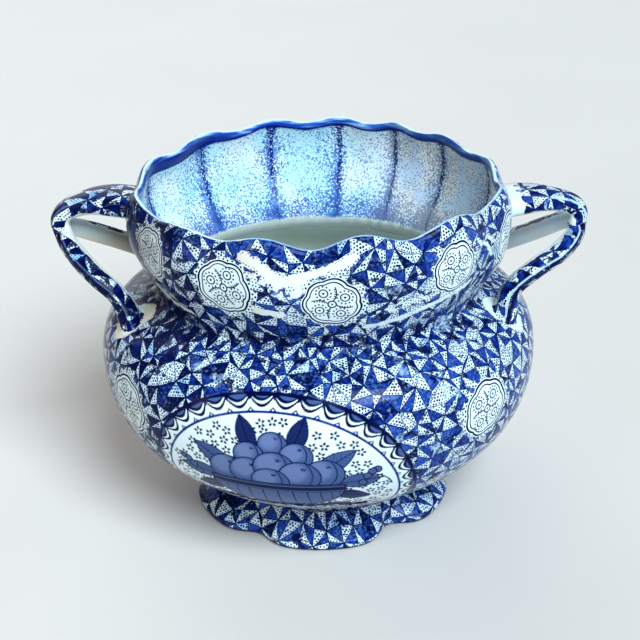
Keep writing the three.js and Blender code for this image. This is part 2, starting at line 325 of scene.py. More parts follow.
def printed_triangles(skin, columns, rows, jitter):
    """The print's own triangles: corners as (angle, along), and the colour each has by turns."""
    shift = rng.uniform(-jitter, jitter, (rows + 1, columns, 2))
    shift[0, :, 1] = shift[-1, :, 1] = 0
    shift = np.concatenate([shift, shift[:, :1]], 1)
    i, j = np.meshgrid(np.arange(columns + 1), np.arange(rows + 1))
    angle = -math.pi + (i + shift[..., 0]) * 2 * math.pi / columns
    along = (j + shift[..., 1]) * skin.length / rows
    points = np.stack([angle, along], -1)
    triangles, colours = [], []
    for row in range(rows):
        for column in range(columns):
            a, b = points[row, column], points[row, column + 1]
            c, d = points[row + 1, column + 1], points[row + 1, column]
            even = (row + column) % 2 == 0
            first = row % 2 if even else 1 - row % 2
            lower, upper = ((a, b, c), (a, c, d)) if even else ((a, b, d), (b, c, d))
            triangles += [lower, upper]
            colours += [first, 1 - first]
    return np.array(triangles), np.array(colours)


def flat_corners(places):
    """Each triangle laid flat: its corners in mm, the first at the origin and the second along x."""
    side = places[:, 1] - places[:, 0]
    other = places[:, 2] - places[:, 0]
    length = np.linalg.norm(side, axis=1)
    run = (other * side).sum(1) / length
    rise = np.linalg.norm(np.cross(side, other), axis=1) / length
    zero = np.zeros_like(length)
    return np.stack([np.stack([zero, zero], 1), np.stack([length, zero], 1), np.stack([run, rise], 1)], 1)


def net(skin, columns, rows, jitter, fineness, medallions, blank):
    """A skin's printed net. fineness(angle, along) says how finely each printed triangle is cut."""
    triangles, colours = printed_triangles(skin, columns, rows, jitter)
    centres = triangles.mean(1)
    cuts = fineness(centres[:, 0], centres[:, 1])
    chances = rng.uniform(0, 1, (3, len(colours)))
    # Towards the left, more light triangles turn blue: painted shade.
    to_blue = (0.16 if skin is COLLAR else 0.06) + 0.15 * smooth(15, 70, -centres[:, 0] / DEGREE)
    colours = np.where(chances[2] < np.where(colours == 0, to_blue, 0.07), 1 - colours, colours)
    tones = np.stack([colours, chances[0], chances[1]], -1)
    sheets = []
    for cut in np.unique(cuts):
        chosen = cuts == cut
        shares, pattern = lattice(int(cut))
        tips = triangles[chosen]
        flat = flat_corners(skin.at(tips[..., 0], tips[..., 1]))
        sides = np.linalg.norm(np.roll(flat, -1, 1) - np.roll(flat, 1, 1), axis=2)
        area = np.abs(flat[:, 1, 0] * flat[:, 2, 1])
        heights = area[:, None] / np.maximum(sides, 1e-6)
        where = np.einsum("kc,tcd->tkd", shares, tips)
        edge = shares[None] * heights[:, None]
        dot = np.einsum("kc,tcd->tkd", shares, flat)
        count, points = where.shape[:2]
        faces = (np.arange(count)[:, None, None] * points + pattern[None]).reshape(-1, 3)
        angle, along = where.reshape(-1, 2).T
        corners = blank_corners(len(faces))
        corners["edge"] = edge.reshape(-1, 3)[faces]
        corners["dot"][..., :2] = dot.reshape(-1, 2)[faces]
        corners["dot"][..., 2] = blank(angle, along)[faces]
        corners["tone"] = np.repeat(tones[chosen], points, 0)[faces]
        corners["medal"] = medallion_corners(skin, angle[faces], along[faces], medallions)
        paint = panel_paint(skin, angle, along) if cut == FINE else None
        sheets.append(skin_sheet(skin, angle, along, faces, corners, paint=paint))
    return sheets


def medallion_corners(skin, angle, along, medallions):
    """Each corner's place on the medallion nearest to its face, in mm, and how that is turned."""
    best = np.full(len(angle), 1e9)
    found = np.full(angle.shape + (3,), FAR_OFF)
    for centre, middle, turn, scale in medallions:
        step = wrapped(angle - centre * DEGREE)
        x, y = step * skin.radius(along) / scale, (along - middle) / scale
        far = np.hypot(x, y).mean(1)
        near = (far < best) & (np.ptp(step, axis=1) < 1)
        best[near] = far[near]
        cosine, sine = math.cos(turn * DEGREE), math.sin(turn * DEGREE)
        found[near] = np.stack([x * cosine - y * sine, x * sine + y * cosine, 0 * x + turn], -1)[near]
    return found


def placed(name, data):
    """A new object of the scene."""
    thing = bpy.data.objects.new(name, data)
    bpy.context.scene.collection.objects.link(thing)
    return thing


def made(name, sheets, materials):
    """One mesh object of sheets, with its normals and what its corners know."""
    starts = np.cumsum([0] + [len(part["places"]) for part in sheets])
    faces = np.concatenate([part["faces"] + start for part, start in zip(sheets, starts)])
    places, normals, paint, slots = (
        np.concatenate([part[key] for part in sheets]) for key in ("places", "normals", "paint", "slots")
    )
    places = places * MM
    keys = np.round(np.concatenate([places / MM * 200, normals * 20], 1)).astype(np.int64)
    _, first, back = np.unique(keys, axis=0, return_index=True, return_inverse=True)
    faces = back.ravel()[faces]
    kept = (faces[:, 0] != faces[:, 1]) & (faces[:, 1] != faces[:, 2]) & (faces[:, 2] != faces[:, 0])
    used, back = np.unique(faces[kept], return_inverse=True)
    faces, first = back.reshape(-1, 3), first[used]
    mesh = bpy.data.meshes.new(name)
    mesh.from_pydata(places[first].tolist(), [], faces.tolist())
    for material in materials:
        mesh.materials.append(material)
    mesh.polygons.foreach_set("material_index", slots[kept].astype(np.int32))
    for key in sheets[0]["corners"]:
        values = np.concatenate([part["corners"][key] for part in sheets])[kept]
        layer = mesh.attributes.new(key, "FLOAT_VECTOR", "CORNER")
        layer.data.foreach_set("vector", values.astype(np.float32).ravel())
    layer = mesh.attributes.new("paint", "FLOAT_COLOR", "POINT")
    layer.data.foreach_set("color", paint[first].astype(np.float32).ravel())
    mesh.polygons.foreach_set("use_smooth", np.ones(len(mesh.polygons), bool))
    mesh.normals_split_custom_set(normals[first][faces.ravel()].tolist())
    return placed(name, mesh)


# Nodes: values that can be added and multiplied


class Wire:
    """A number or vector on its way through a material's nodes."""

    def __init__(self, tree, socket):
        self.tree = tree
        self.socket = socket

    def __add__(self, other):
        return maths("ADD", self, other)

    def __sub__(self, other):
        return maths("SUBTRACT", self, other)

    def __rsub__(self, other):
        return maths("SUBTRACT", other, self)

    def __mul__(self, other):
        return maths("MULTIPLY", self, other)

    def __truediv__(self, other):
        return maths("DIVIDE", self, other)

    def __mod__(self, other):
        return maths("FLOORED_MODULO", self, other)

    def __abs__(self):
        return maths("ABSOLUTE", self)

    __radd__ = __add__
    __rmul__ = __mul__


def plug(tree, value, socket):
    """Links a wire into a socket, or sets the socket to a plain value."""
    if isinstance(value, Wire):
        tree.links.new(value.socket, socket)
    elif isinstance(value, tuple):
        socket.default_value = value if len(socket.default_value) == len(value) else (*value, 1)
    else:
        socket.default_value = value


def node(tree, kind, inputs, output=0, **settings):
    """A new node with its settings and inputs, as a wire from one of its outputs."""
    made_node = tree.nodes.new(kind)
    for key, value in settings.items():
        setattr(made_node, key, value)
    for key, value in inputs.items():
        plug(tree, value, made_node.inputs[key])
    return Wire(tree, made_node.outputs[output])


def maths(kind, *values):
    tree = next(value.tree for value in values if isinstance(value, Wire))
    return node(tree, "ShaderNodeMath", dict(enumerate(values)), operation=kind)


def lesser(a, b):
    return maths("MINIMUM", a, b)


def greater(a, b):
    return maths("MAXIMUM", a, b)


def ramp(value, low, high, start=0.0, end=1.0):
    """Runs smoothly from start to end while the value runs from low to high."""
    inputs = {"Value": value, "From Min": low, "From Max": high, "To Min": start, "To Max": end}
    return node(value.tree, "ShaderNodeMapRange", inputs, interpolation_type="SMOOTHSTEP")


def fade(value, low, high):
    """1 up to the low value, and 0 from the high one."""
    return ramp(value, low, high, 1.0, 0.0)


def wobble(share, size):
    """A share of 0 to 1 made into a step of up to half this size down or up."""
    return (share - 0.5) * size


def hypotenuse(x, y):
    return maths("SQRT", x * x + y * y)


def stroke(distance, width, soft=0.16):
    """1 on a line of this width, where distance is how far the line's middle is."""
    return fade(abs(distance), width / 2 - soft / 2, width / 2 + soft / 2)


def blend(share, below, above):
    """One colour over another."""
    tree = share.tree
    return node(tree, "ShaderNodeMix", {0: share, 6: below, 7: above}, 2, data_type="RGBA")


def known(tree, name):
    """What a mesh's corners know, as its three numbers."""
    vector = node(tree, "ShaderNodeAttribute", {}, "Vector", attribute_name=name)
    return [node(tree, "ShaderNodeSeparateXYZ", {0: vector}, axis) for axis in "XYZ"]


def together(x, y, z=0.0):
    tree = next(value.tree for value in (x, y, z) if isinstance(value, Wire))
    return node(tree, "ShaderNodeCombineXYZ", {0: x, 1: y, 2: z})


def noise(where, size, detail=2.0, roughness=0.5, stretch=None):
    """Cloudy noise from 0 to 1 with features of about this size in metres."""
    tree = where.tree
    if stretch:
        where = node(tree, "ShaderNodeVectorMath", {0: where, 1: stretch}, operation="MULTIPLY")
    inputs = {"Vector": where, "Scale": 1 / size, "Detail": detail, "Roughness": roughness}
    return node(tree, "ShaderNodeTexNoise", inputs)


def chance(x, y, salt=0.0):
    """A number from 0 to 1 that is the same wherever x, y and salt are."""
    return node(x.tree, "ShaderNodeTexWhiteNoise", {"Vector": together(x, y, salt)})


def fresh_material(name):
    """An empty material with its own place, and the place's wire."""
    material = bpy.data.materials.new(name)
    material.use_nodes = True
    tree = material.node_tree
    tree.nodes.clear()
    return material, tree, node(tree, "ShaderNodeTexCoord", {}, "Object")


def surfaced(tree, inputs):
    """Ends a material with a shader that has these inputs."""
    shader = node(tree, "ShaderNodeBsdfPrincipled", inputs)
    tree.links.new(shader.socket, tree.nodes.new("ShaderNodeOutputMaterial").inputs[0])


def glazed(name, colour_of):
    """A material of glazed earthenware: gloss, duller in worn places, with a faint ripple in it."""
    material, tree, place = fresh_material(name)
    colour = colour_of(tree, place)
    roughness = ramp(noise(place, 0.012, 3.0), 0.35, 0.7, 0.08, 0.2)
    ripple = noise(place, 0.028, 2.0) * 0.5 + noise(place, 0.006, 1.0) * 0.05
    normal = node(tree, "ShaderNodeBump", {"Height": ripple, "Strength": 0.35, "Distance": 0.0006})
    inputs = {"Base Color": colour, "Roughness": roughness, "Normal": normal}
    surfaced(tree, {**inputs, "IOR": 1.5, "Specular IOR Level": 0.1})
    return material


def bare_glaze(place, low, high):
    """The unprinted glaze: cream and cool white in slow clouds."""
    return blend(ramp(noise(place, 0.05, 3.0), 0.35, 0.65), low, high)


def dots(x, y, radius):
    """Rows of small dots, every other row moved by half a step, a little uneven."""
    row = maths("FLOOR", y / DOT_PITCH)
    shifted = x / DOT_PITCH + maths("MODULO", row, 2.0) * 0.5
    column = maths("FLOOR", shifted)
    off = wobble(chance(column, row), 0.3)
    aside = shifted - column - 0.5 + off
    above = y / DOT_PITCH - row - 0.5 + off * 0.8
    size = chance(column, row, 3.0) * (radius * 0.5) + radius * 0.7
    return fade(hypotenuse(aside, above) * DOT_PITCH - size, -0.12, 0.12)


def side_share(place, low, high):
    """0 to 1 as a place runs from low to high along X, in metres."""
    return ramp(node(place.tree, "ShaderNodeSeparateXYZ", {0: place}, "X"), low, high)


def dotted_white(place, x, y, height, edge, broad, luck):
    """The print's light triangles: white with rows of dots, greyed on the far left, most on the collar, as
    painted shade.
    """
    light = blend(ramp(broad + wobble(luck, 0.25), 0.58, 0.84), WHITE, PALE)
    # Painted shade: the light triangles grey towards the left.
    shaded = side_share(place, -0.05, -0.10) * ramp(height, 140, 160)
    shaded = greater(shaded, side_share(place, -0.08, -0.135) * 0.7)
    light = blend(shaded * 0.75, light, SHADE_GREY)
    light = blend(ramp(edge, 0.5, 1.2, 0.2, 0.0), light, PALE)
    light = blend(dots(x, y, 0.8) * 0.2, light, PALE)
    return blend(dots(x, y, 0.56) * ramp(edge, 0.35, 0.55), light, DOT_INK)


def smudged(place, height, fine, broad, colour):
    """Lays smudges of dark ink over a colour, thicker at the waist and on the left (most on the collar) in
    part as painted shade, then rubbed places, and dark lines of painted shade at the foot's joint and lower
    edge.
    """
    fold = noise(place, 0.010, 4.0, 0.7, stretch=(1.0, 1.0, 1.7))
    # Partly painted shade: smudges thicken under the collar at the waist, and on the left.
    waist_smudge_and_shade = ramp(abs(height - WAIST_HEIGHT - 2), 3, 11, 0.09, 0.0)
    left = side_share(place, -0.04, -0.11) * ramp(height, 130, 150, 0.02, 0.11)
    smudge = ramp(fold + waist_smudge_and_shade + left, 0.57, 0.62)
    colour = blend(smudge * ramp(fine + (fold - 0.5), 0.28, 0.5) * 0.92, colour, NAVY)
    rub = ramp(noise(place, 0.016, 4.0, 0.6), 0.59, 0.69)
    colour = blend(rub * ramp(fine, 0.3, 0.6) * 0.8, colour, blend(broad, PALE, WHITE))
    # Painted shade: a dark line where the bowl meets the foot, and one along the foot's lower edge at the
    # floor.
    painted_shade_lines = stroke(height - 18.5 + wobble(broad, 4), 1.6, 1.0)
    painted_shade_lines = painted_shade_lines + fade(height + wobble(fine, 2), 1.4, 2.2)
    return blend(painted_shade_lines * 0.85, colour, NAVY)


def with_bare_places(place, x, y, blank, fine, broad, colour):
    """Leaves the ribbons and the handles' surrounds bare in a colour, with stray dots at their edges."""
    gap = blank + wobble(noise(place, 0.004, 3.0), 3.6) + wobble(fine, 1.0)
    # Towards the left the bare glaze turns cream in patches: painted warm shade.
    bare = blend(side_share(place, 0.0, -0.06) * ramp(broad, 0.3, 0.5), WHITE, CREAM)
    stray = dots(x, y, 0.5) * ramp(gap + wobble(broad, 3), -0.9, -0.5)
    bare = blend(stray * 0.9, bare, COBALT)
    return blend(fade(gap, -0.2, 0.2), colour, bare)


def triangle_print(tree, place):
    """The ground print: solid blue and dotted triangles by turns, with outlines, washes and smudges, darker
    on the left as painted shade.
    """
    d1, d2, d3 = known(tree, "edge")
    kind, luck, other_luck = known(tree, "tone")
    x, y, blank = known(tree, "dot")
    _, _, height = known(tree, "wrap")
    fine = noise(place, 0.0016, 2.0)
    broad = noise(place, 0.022, 3.0)
    middle = noise(place, 0.006, 3.0, 0.6)
    edge = lesser(lesser(d1, d2), d3) + wobble(fine, 0.7)
    # The side_share term darkens the blue triangles on the left as painted shade.
    shade = middle + wobble(other_luck, 0.26) + side_share(place, -0.03, -0.09) * 0.16
    blue = blend(ramp(shade, 0.34, 0.56), BRIGHT, COBALT)
    blue = blend(ramp(shade, 0.52, 0.70), blue, NAVY)
    blue = blend(ramp(fine + middle - shade * 0.4, 0.78, 1.04) * 0.3, blue, PALE)
    light = dotted_white(place, x, y, height, edge, broad, luck)
    colour = blend(ramp(kind, 0.4, 0.6) * ramp(edge, -0.05, 0.2), light, blue)
    colour = blend(fade(edge, 0.12, 0.34), colour, INK)
    colour = smudged(place, height, fine, broad, colour)
    return with_bare_places(place, x, y, blank, fine, broad, colour)


def roundel_ink(far, angle, lobed):
    """The lines of a roundel: a lobed double outline, four ringed florets and combed stems."""
    quarter = math.tau / 4
    sector = angle % quarter - quarter / 2
    from_floret, sy = maths("COSINE", sector) * far - FLORETS_OUT, maths("SINE", sector) * far
    to_floret = hypotenuse(from_floret, sy)
    beads = maths("COSINE", maths("ARCTAN2", sy, from_floret) * 12)
    between_florets = (angle + quarter / 2) % quarter - quarter / 2
    bend = between_florets * far + maths("SINE", far * 0.33 - 0.8) * 1.3
    barbs = ramp(maths("COSINE", far * 4.0), -0.1, 0.3)
    barbs = barbs * ramp(far, 4.5, 4.9) * fade(far, 12.0, 12.4)
    ink = fade(far, 0.5, 0.8)
    for line in (
        stroke(to_floret - 2.7, 0.8),
        fade(to_floret, 0.6, 0.9),
        stroke(to_floret - 4.7, 1.05, 0.4) * ramp(beads, 0.0, 0.35),
        stroke(far - 2.5, 0.9),
        stroke(bend, 0.8) * ramp(far, 2.5, 2.8) * fade(far, 12.6, 13.0),
        stroke(bend - 0.8, 1.2, 0.4) * barbs,
        stroke(lobed - 14.4, 0.8),
        stroke(lobed - 16.8, 1.2),
    ):
        ink = greater(ink, line)
    return ink


def medallion(tree, place, colour):
    """Draws a roundel over a colour: white paper with its lines, and rows of beads that fringe it. On the
    far left the paper is greyed as painted shade, most on the collar.
    """
    x, y, turn = known(tree, "medal")
    _, _, height = known(tree, "wrap")
    far = hypotenuse(x, y)
    angle = maths("ARCTAN2", y, x)
    shaky = wobble(noise(together(x * 0.1, y * 0.1, turn), 1.0, 1.0), 2.2)
    lobed = far - abs(maths("COSINE", angle * 3.5 + turn)) * 1.3 + shaky
    step, rows = angle * BEADS_ROUND / math.tau, (lobed - ROUNDEL_EDGE) / BEAD_ROW
    luck = chance(maths("FLOOR", step), turn)
    bead_x = wobble(maths("FRACT", step + maths("FLOOR", rows) * 0.5), 3.2)
    bead_y = wobble(maths("FRACT", rows), BEAD_ROW)
    bead = fade(hypotenuse(bead_x, bead_y), 0.55, 0.8)
    reach = ROUNDEL_EDGE + ramp(luck, 0.3, 1.0) * 4.5
    fringe = bead * ramp(lobed, 17.7, 17.8) * fade(lobed - reach, -0.1, 0.1)
    # Painted shade: the paper greys on the far left of the pot.
    paper_shade = side_share(place, -0.07, -0.11) * ramp(height, 125, 150, 0.35, 0.8)
    paper_in_shade = blend(paper_shade, WHITE, (0.36, 0.37, 0.33))
    paper = blend(fade(lobed - ramp(luck, 0.2, 1.0) * 3.5, 17.6, 18.4), colour, paper_in_shade)
    paper = blend(fringe, paper, INK)
    return blend(roundel_ink(far, angle, lobed) * fade(lobed, 17.5, 17.7), paper, INK)


def printed_glaze(tree, place):
    """The bowl and the foot ring: the print, and the painted panels over it."""
    colour = medallion(tree, place, triangle_print(tree, place))
    painted = node(tree, "ShaderNodeAttribute", {}, "Color", attribute_name="paint")
    cover = node(tree, "ShaderNodeAttribute", {}, "Alpha", attribute_name="paint")
    return blend(cover, colour, painted)


def collar_print(tree, place):
    """The collar's outside: the same print, up to a thin pale line on the rim's crest, which is a painted
    highlight.
    """
    _, along, _ = known(tree, "wrap")
    colour = medallion(tree, place, triangle_print(tree, place))
    edge = along - COLLAR.length + wobble(noise(place, 0.006, 2.0), 1.6)
    # Painted highlight: a pale line along the rim's crest.
    return blend(ramp(edge, -1.0, -0.5), colour, bare_glaze(place, WHITE, PALE))


def seam_lines(place, depth, off_seam, right, grain, colour):
    """Lays a painted line over a colour down each seam, broad at the rim and fainter lower down, greyer on
    the right as painted shade.
    """
    width = 1.9 + ramp(noise(place, 0.007, 2.0), 0.35, 0.65) * 2.4 + ramp(depth, 7, 13, 4.0, 0.0)
    line = fade(off_seam - width * 0.5, -0.4, 0.5) * ramp(depth, 75, 30, 0.35, 1.0)
    # Painted shade: the seam line turns grey on the right.
    line_colour = blend(right, DEEP, (0.01, 0.02, 0.09))
    return blend(line * ramp(grain, 0.36, 0.5) * 0.95, colour, line_colour)


def painted_rim(place, depth, right, grain, colour):
    """Lays a streaky blue band over a colour under the rim, broader and deeper on the left, greyed on the
    right as painted shade, with a pale line on the crest as a painted highlight.
    """
    streak = noise(place, 0.010, 3.0, stretch=(0.5, 0.5, 4.0))
    rim_blue = blend(ramp(streak, 0.36, 0.58), (0.34, 0.58, 0.88), (0.03, 0.14, 0.56))
    rim_blue = blend(ramp(depth + wobble(streak, 8), 2.5, 4.5) * 0.85, rim_blue, (0.015, 0.07, 0.42))
    # Painted shade: the band greys on the right.
    rim_blue = blend(right * 0.7, rim_blue, (0.03, 0.06, 0.18))
    left = side_share(place, -0.02, -0.08)
    rim_blue = blend(left * ramp(depth + wobble(streak, 5), 1.2, 3.0) * 0.8, rim_blue, (0.006, 0.03, 0.27))
    lower = depth + wobble(streak, 2.0) + wobble(noise(place, 0.05, 1.0), 6)
    lower = lower - side_share(place, -0.04, -0.09) * 6.0
    rim_blue = blend(ramp(lower, 4.8, 5.8), rim_blue, DEEP)
    colour = blend(fade(lower + wobble(grain, 5), 6.2, 7.6), colour, rim_blue)
    # Painted highlight: a pale line along the crest.
    return blend(fade(depth + wobble(streak, 4), 0.6, 1.6), colour, (0.62, 0.84, 0.95))


def sponged_glaze(tree, place):
    """The collar's inside: blue stipple on white, thicker at the lobes' seams, with a painted rim, and
    greyer on the right as painted shade.
    """
    _, depth, _ = known(tree, "wrap")
    turn, _, _ = known(tree, "tone")
    # right: how far a point lies on the right, where the inside is greyed as painted shade.
    right = side_share(place, 0.02, 0.07)
    cloud = noise(place, 0.018, 3.0) - 0.5
    grain = noise(place, 0.0013, 3.0, 0.75)
    wander = wobble(noise(place, 0.02, 2.0), 0.12)
    share = maths("FRACT", turn + wander * 0.5 + 1.0)
    off_seam = abs((share - 0.5) * LOBE_WIDTH + 25.0)
    off_seam = lesser(off_seam, abs(off_seam - LOBE_WIDTH))
    band = ramp(share, 0.0, 0.02) * fade(share, 0.04, 0.42)
    low = ramp(depth + wander * 60, 46, 68)
    density = band * ramp(depth, -10, 45) * 0.18 + low * 0.22
    density = density + ramp(off_seam, 1.5, 8, 0.16, 0.0) + right * 0.04
    ink = ramp(grain + density * 0.42 + cloud * 0.20, 0.525, 0.60)
    base = blend(ramp(noise(place, 0.03, 2.0), 0.35, 0.6), (0.80, 0.96, 0.98), (0.56, 0.88, 0.97))
    # Painted shade: on the right the white turns grey, and the stipple greyer and thinner.
    base = blend(right, base, blend(ramp(cloud, -0.12, 0.1), (0.62, 0.76, 0.90), (0.86, 0.89, 0.86)))
    thin = ramp(noise(place, 0.004, 1.0) - density * 0.3, 0.3, 0.6)
    blue = blend(thin, (0.006, 0.045, 0.34), (0.04, 0.20, 0.62))
    blue = blend(right, blue, (0.04, 0.085, 0.24))
    colour = blend(ink * (0.9 - right * 0.22), base, blue)
    colour = seam_lines(place, depth, off_seam, right, grain, colour)
    end = COLLAR_INSIDE.length
    sponged = fade(depth + wobble(grain, 6) + cloud * 3, end - 2.0, end - 0.7)
    colour = blend(sponged, (0.60, 0.68, 0.64), colour)
    return painted_rim(place, depth, right, grain, colour)


def plain_glaze(tree, place):
    """The inside of the bowl and the underside of the pot."""
    return bare_glaze(place, (0.63, 0.68, 0.61), (0.68, 0.76, 0.74))


def strap_print(tree, place):
    """A handle's glaze: printed on its outer faces and cream on its inner ones, pale in patches on its ridge
    from wear and a painted highlight, and darker on the left as painted shade.
    """
    along, across, mask = known(tree, "wrap")
    ridge, strip, _ = known(tree, "edge")
    u = along / STRAP_PITCH + wobble(noise(place, 0.020, 0.0), 1.1)
    v = across / STRAP_PITCH + wobble(noise(place, 0.023, 0.0), 1.1)
    column, row = maths("FLOOR", u), maths("FLOOR", v)
    fu, fv = u - column, v - row
    parity = (column + row) % 2.0
    mirrored = fu + parity - 2 * parity * fu
    diagonal = mirrored - fv
    below = ramp(diagonal, -0.01, 0.01)
    flip = (below + parity + row % 2.0) % 2.0
    fine = noise(place, 0.0016)
    sides = lesser(lesser(fu, 1.0 - fu), lesser(fv, 1.0 - fv))
    edge = lesser(sides, abs(diagonal) * 0.707) * STRAP_PITCH + wobble(fine, 0.6)
    middle = noise(place, 0.007, 3.0)
    # left: painted shade, which darkens the left handle's blues and thickens its smudges.
    left = side_share(place, 0.0, -0.1)
    blue = blend(ramp(middle + left * 0.1, 0.36, 0.5), BRIGHT, COBALT)
    blue = blend(ramp(middle + left * 0.1, 0.5, 0.64), blue, NAVY)
    light = blend(ramp(noise(place, 0.02, 3.0), 0.5, 0.7), WHITE, PALE)
    light = blend(dots(along, across, 0.55) * ramp(edge, 0.3, 0.5), light, INK)
    colour = blend(flip * ramp(edge, -0.05, 0.2), light, blue)
    colour = blend(fade(edge, 0.16, 0.36), colour, INK)
    outer = ramp(strip, 0.5, 0.9) * fade(strip + middle * 4, 5.0, 6.5)
    smudge = greater(ramp(noise(place, 0.012, 2.0, 0.6) + left * 0.08, 0.56, 0.60), outer)
    colour = blend(smudge * ramp(fine, 0.22, 0.45) * 0.95, colour, NAVY)
    # Pale patches on the ridge: worn glaze, and a painted highlight that fades on the shaded left.
    ridge_wear_and_highlight = fade(abs(ridge + wobble(middle, 0.6)), 0.4, 0.8)
    ridge_wear_and_highlight = ridge_wear_and_highlight * ramp(fine + middle, 0.75, 0.95) * (1.0 - left * 0.8)
    colour = blend(ridge_wear_and_highlight * 0.9, colour, blend(middle, WHITE, PALE))
    cream = bare_glaze(place, CREAM, WHITE)
    border = mask + wobble(noise(place, 0.006, 1.0, 0.5), 3.5) + wobble(fine, 0.6)
    colour = blend(ramp(border, -0.2, 0.2), cream, colour)
    # A row of dark leaves where the arm meets the collar.
    leaf_x, leaf_y = (along - 16.5) / 2.6, wobble(maths("FRACT", across / 9), 5)
    leaf = hypotenuse(leaf_x, leaf_y) + wobble(fine, 0.5)
    leaf_colour = blend(ramp(leaf, 0.5, 0.65), PALE, NAVY)
    return blend(fade(leaf, 0.9, 1.05) * ramp(across, -9.5, -9.0), colour, leaf_colour)


# The pot's pieces

# The print's triangles round and up each piece, how far the hand moved their corners, as a share of
# their size, and how many mesh edges cut each side of one, in the ground and where a panel is painted.
FOOT_COLUMNS = 60
FOOT_ROWS = 3
BOWL_COLUMNS = 92
BOWL_ROWS = 20
COLLAR_COLUMNS = 80
COLLAR_ROWS = 8
FOOT_JITTER = 0.3
JITTER = 0.34
COARSE = 4
FINE = 20

# Each roundel as (angle round the pot, mm up the skin, turn, size), and each panel as (angle, mm up).
COLLAR_ROUNDELS = [
    (-57, 47, 20, 0.9), (-27.4, 41, 65, 0.93), (3.2, 35.5, 10, 0.88), (40.3, 44, 100, 0.8),
    *[(73 + 33 * k, 41 + 5 * math.sin(k * 2.4), 50 * k, 0.9) for k in range(7)],
]
BOWL_ROUNDELS = [
    (-57, 109, 30, 1), (45, 114, 80, 0.96), (92, 100, 140, 1), (135, 112, 15, 1), (-128, 110, 70, 1),
]
PANELS = [(-11.3, 78), (169, 78)]
PANEL_WIDTH = 70
PANEL_HEIGHT = 55
PANEL_FRINGE = 10.5


def panel_place(skin, angle, along, centre, middle):
    return wrapped(angle - centre * DEGREE) * skin.radius(along), along - middle


def panel_paint(skin, angle, along):
    """The painted panels as colour and cover at each point."""
    paint = np.zeros((len(angle), 4))
    for centre, middle in PANELS:
        x, y = panel_place(skin, angle, along, centre, middle)
        outside = oval_distance(x, y)
        here = outside < PANEL_FRINGE + 3
        colour, cover = draw_panel(x[here], y[here], outside[here])
        paint[here, :3] = colour
        paint[here, 3] = cover
    return paint


def mark(canvas, share, colour):
    """Lays a colour over a canvas by a share from 0 to 1 at each point."""
    canvas += (np.array(colour) - canvas) * np.clip(share, 0, 1)[:, None]


def line_share(distance, width, soft=0.5):
    return 1 - smooth(width / 2 - soft / 2, width / 2 + soft / 2, np.abs(distance))


def fill_share(distance, soft=0.5):
    return 1 - smooth(-soft / 2, soft / 2, distance)


def ellipse(x, y, shape):
    """How far points are outside an ellipse of (centre x, centre y, half width, half height, turn)."""
    centre_x, centre_y, wide, high, turn = shape
    cosine, sine = math.cos(turn * DEGREE), math.sin(turn * DEGREE)
    along = (x - centre_x) * cosine + (y - centre_y) * sine
    aside = (y - centre_y) * cosine - (x - centre_x) * sine
    share = np.hypot(along / wide, aside / high)
    slope = np.hypot(along / wide**2, aside / high**2) / np.maximum(share, 1e-6)
    return (share - 1) / np.maximum(slope, 1e-6), along, aside


def oval_distance(x, y):
    """How far a point is outside the panel's oval, in mm, near enough."""
    return ellipse(x, y, (0, 0, PANEL_WIDTH, PANEL_HEIGHT, 0))[0]


def draw_shape(canvas, distance, colour, width=0.75):
    mark(canvas, fill_share(distance), colour)
    mark(canvas, line_share(distance, width), INK)


def draw_leaf(canvas, x, y, shape, colour):
    """A pointed leaf with a midrib and side veins. shape is as for an ellipse."""
    _, along, aside = ellipse(x, y, shape)
    long, wide = shape[2], shape[3]
    share = np.clip(np.abs(along) / long, 0, 1)
    distance = np.where(np.abs(along) < long, np.abs(aside) - wide * (1 - share**2), 9)
    draw_shape(canvas, distance, colour, 0.65)
    inside = fill_share(distance + 0.3)
    mark(canvas, line_share(aside, 0.55) * inside, INK)
    veins = (along - np.abs(aside) * 0.9) / 2.6
    mark(canvas, line_share((veins - np.round(veins)) * 2.6, 0.35) * inside * 0.8, INK)


def draw_fruit(canvas, x, y, centre_x, centre_y, radius):
    """A round fruit with a shaded side and a small star-shaped calyx."""
    distance, along, aside = ellipse(x, y, (centre_x, centre_y, radius, radius * 0.94, 0))
    draw_shape(canvas, distance, SLATE)
    light = fill_share(np.hypot(along + radius * 0.25, aside - radius * 0.25) - radius * 0.62, 5)
    mark(canvas, light * fill_share(distance + 0.5) * 0.55, (0.22, 0.29, 0.52))
    bow = np.hypot(along + radius * 0.5, aside - radius * 0.1) - radius * 1.12
    mark(canvas, line_share(bow, 0.6) * fill_share(distance + 0.5), INK)
    right, up = along - radius * 0.2, aside - radius * 0.5
    star = np.hypot(right, up * 1.4) - radius * (0.10 + 0.07 * np.cos(5 * np.arctan2(up, right)))
    mark(canvas, fill_share(star), INK)


def draw_floret(canvas, x, y, centre_x, centre_y, turn):
    """Five short dashes round a point."""
    far = np.hypot(x - centre_x, y - centre_y)
    angle = np.arctan2(y - centre_y, x - centre_x) + turn
    step = (angle / (2 * math.pi) * 5) % 1 - 0.5
    aside = step * 2 * math.pi / 5 * far
    petal = (np.hypot((far - 1.9) / 1.0, aside / 0.75) - 1) * 0.8
    mark(canvas, fill_share(petal), NAVY)


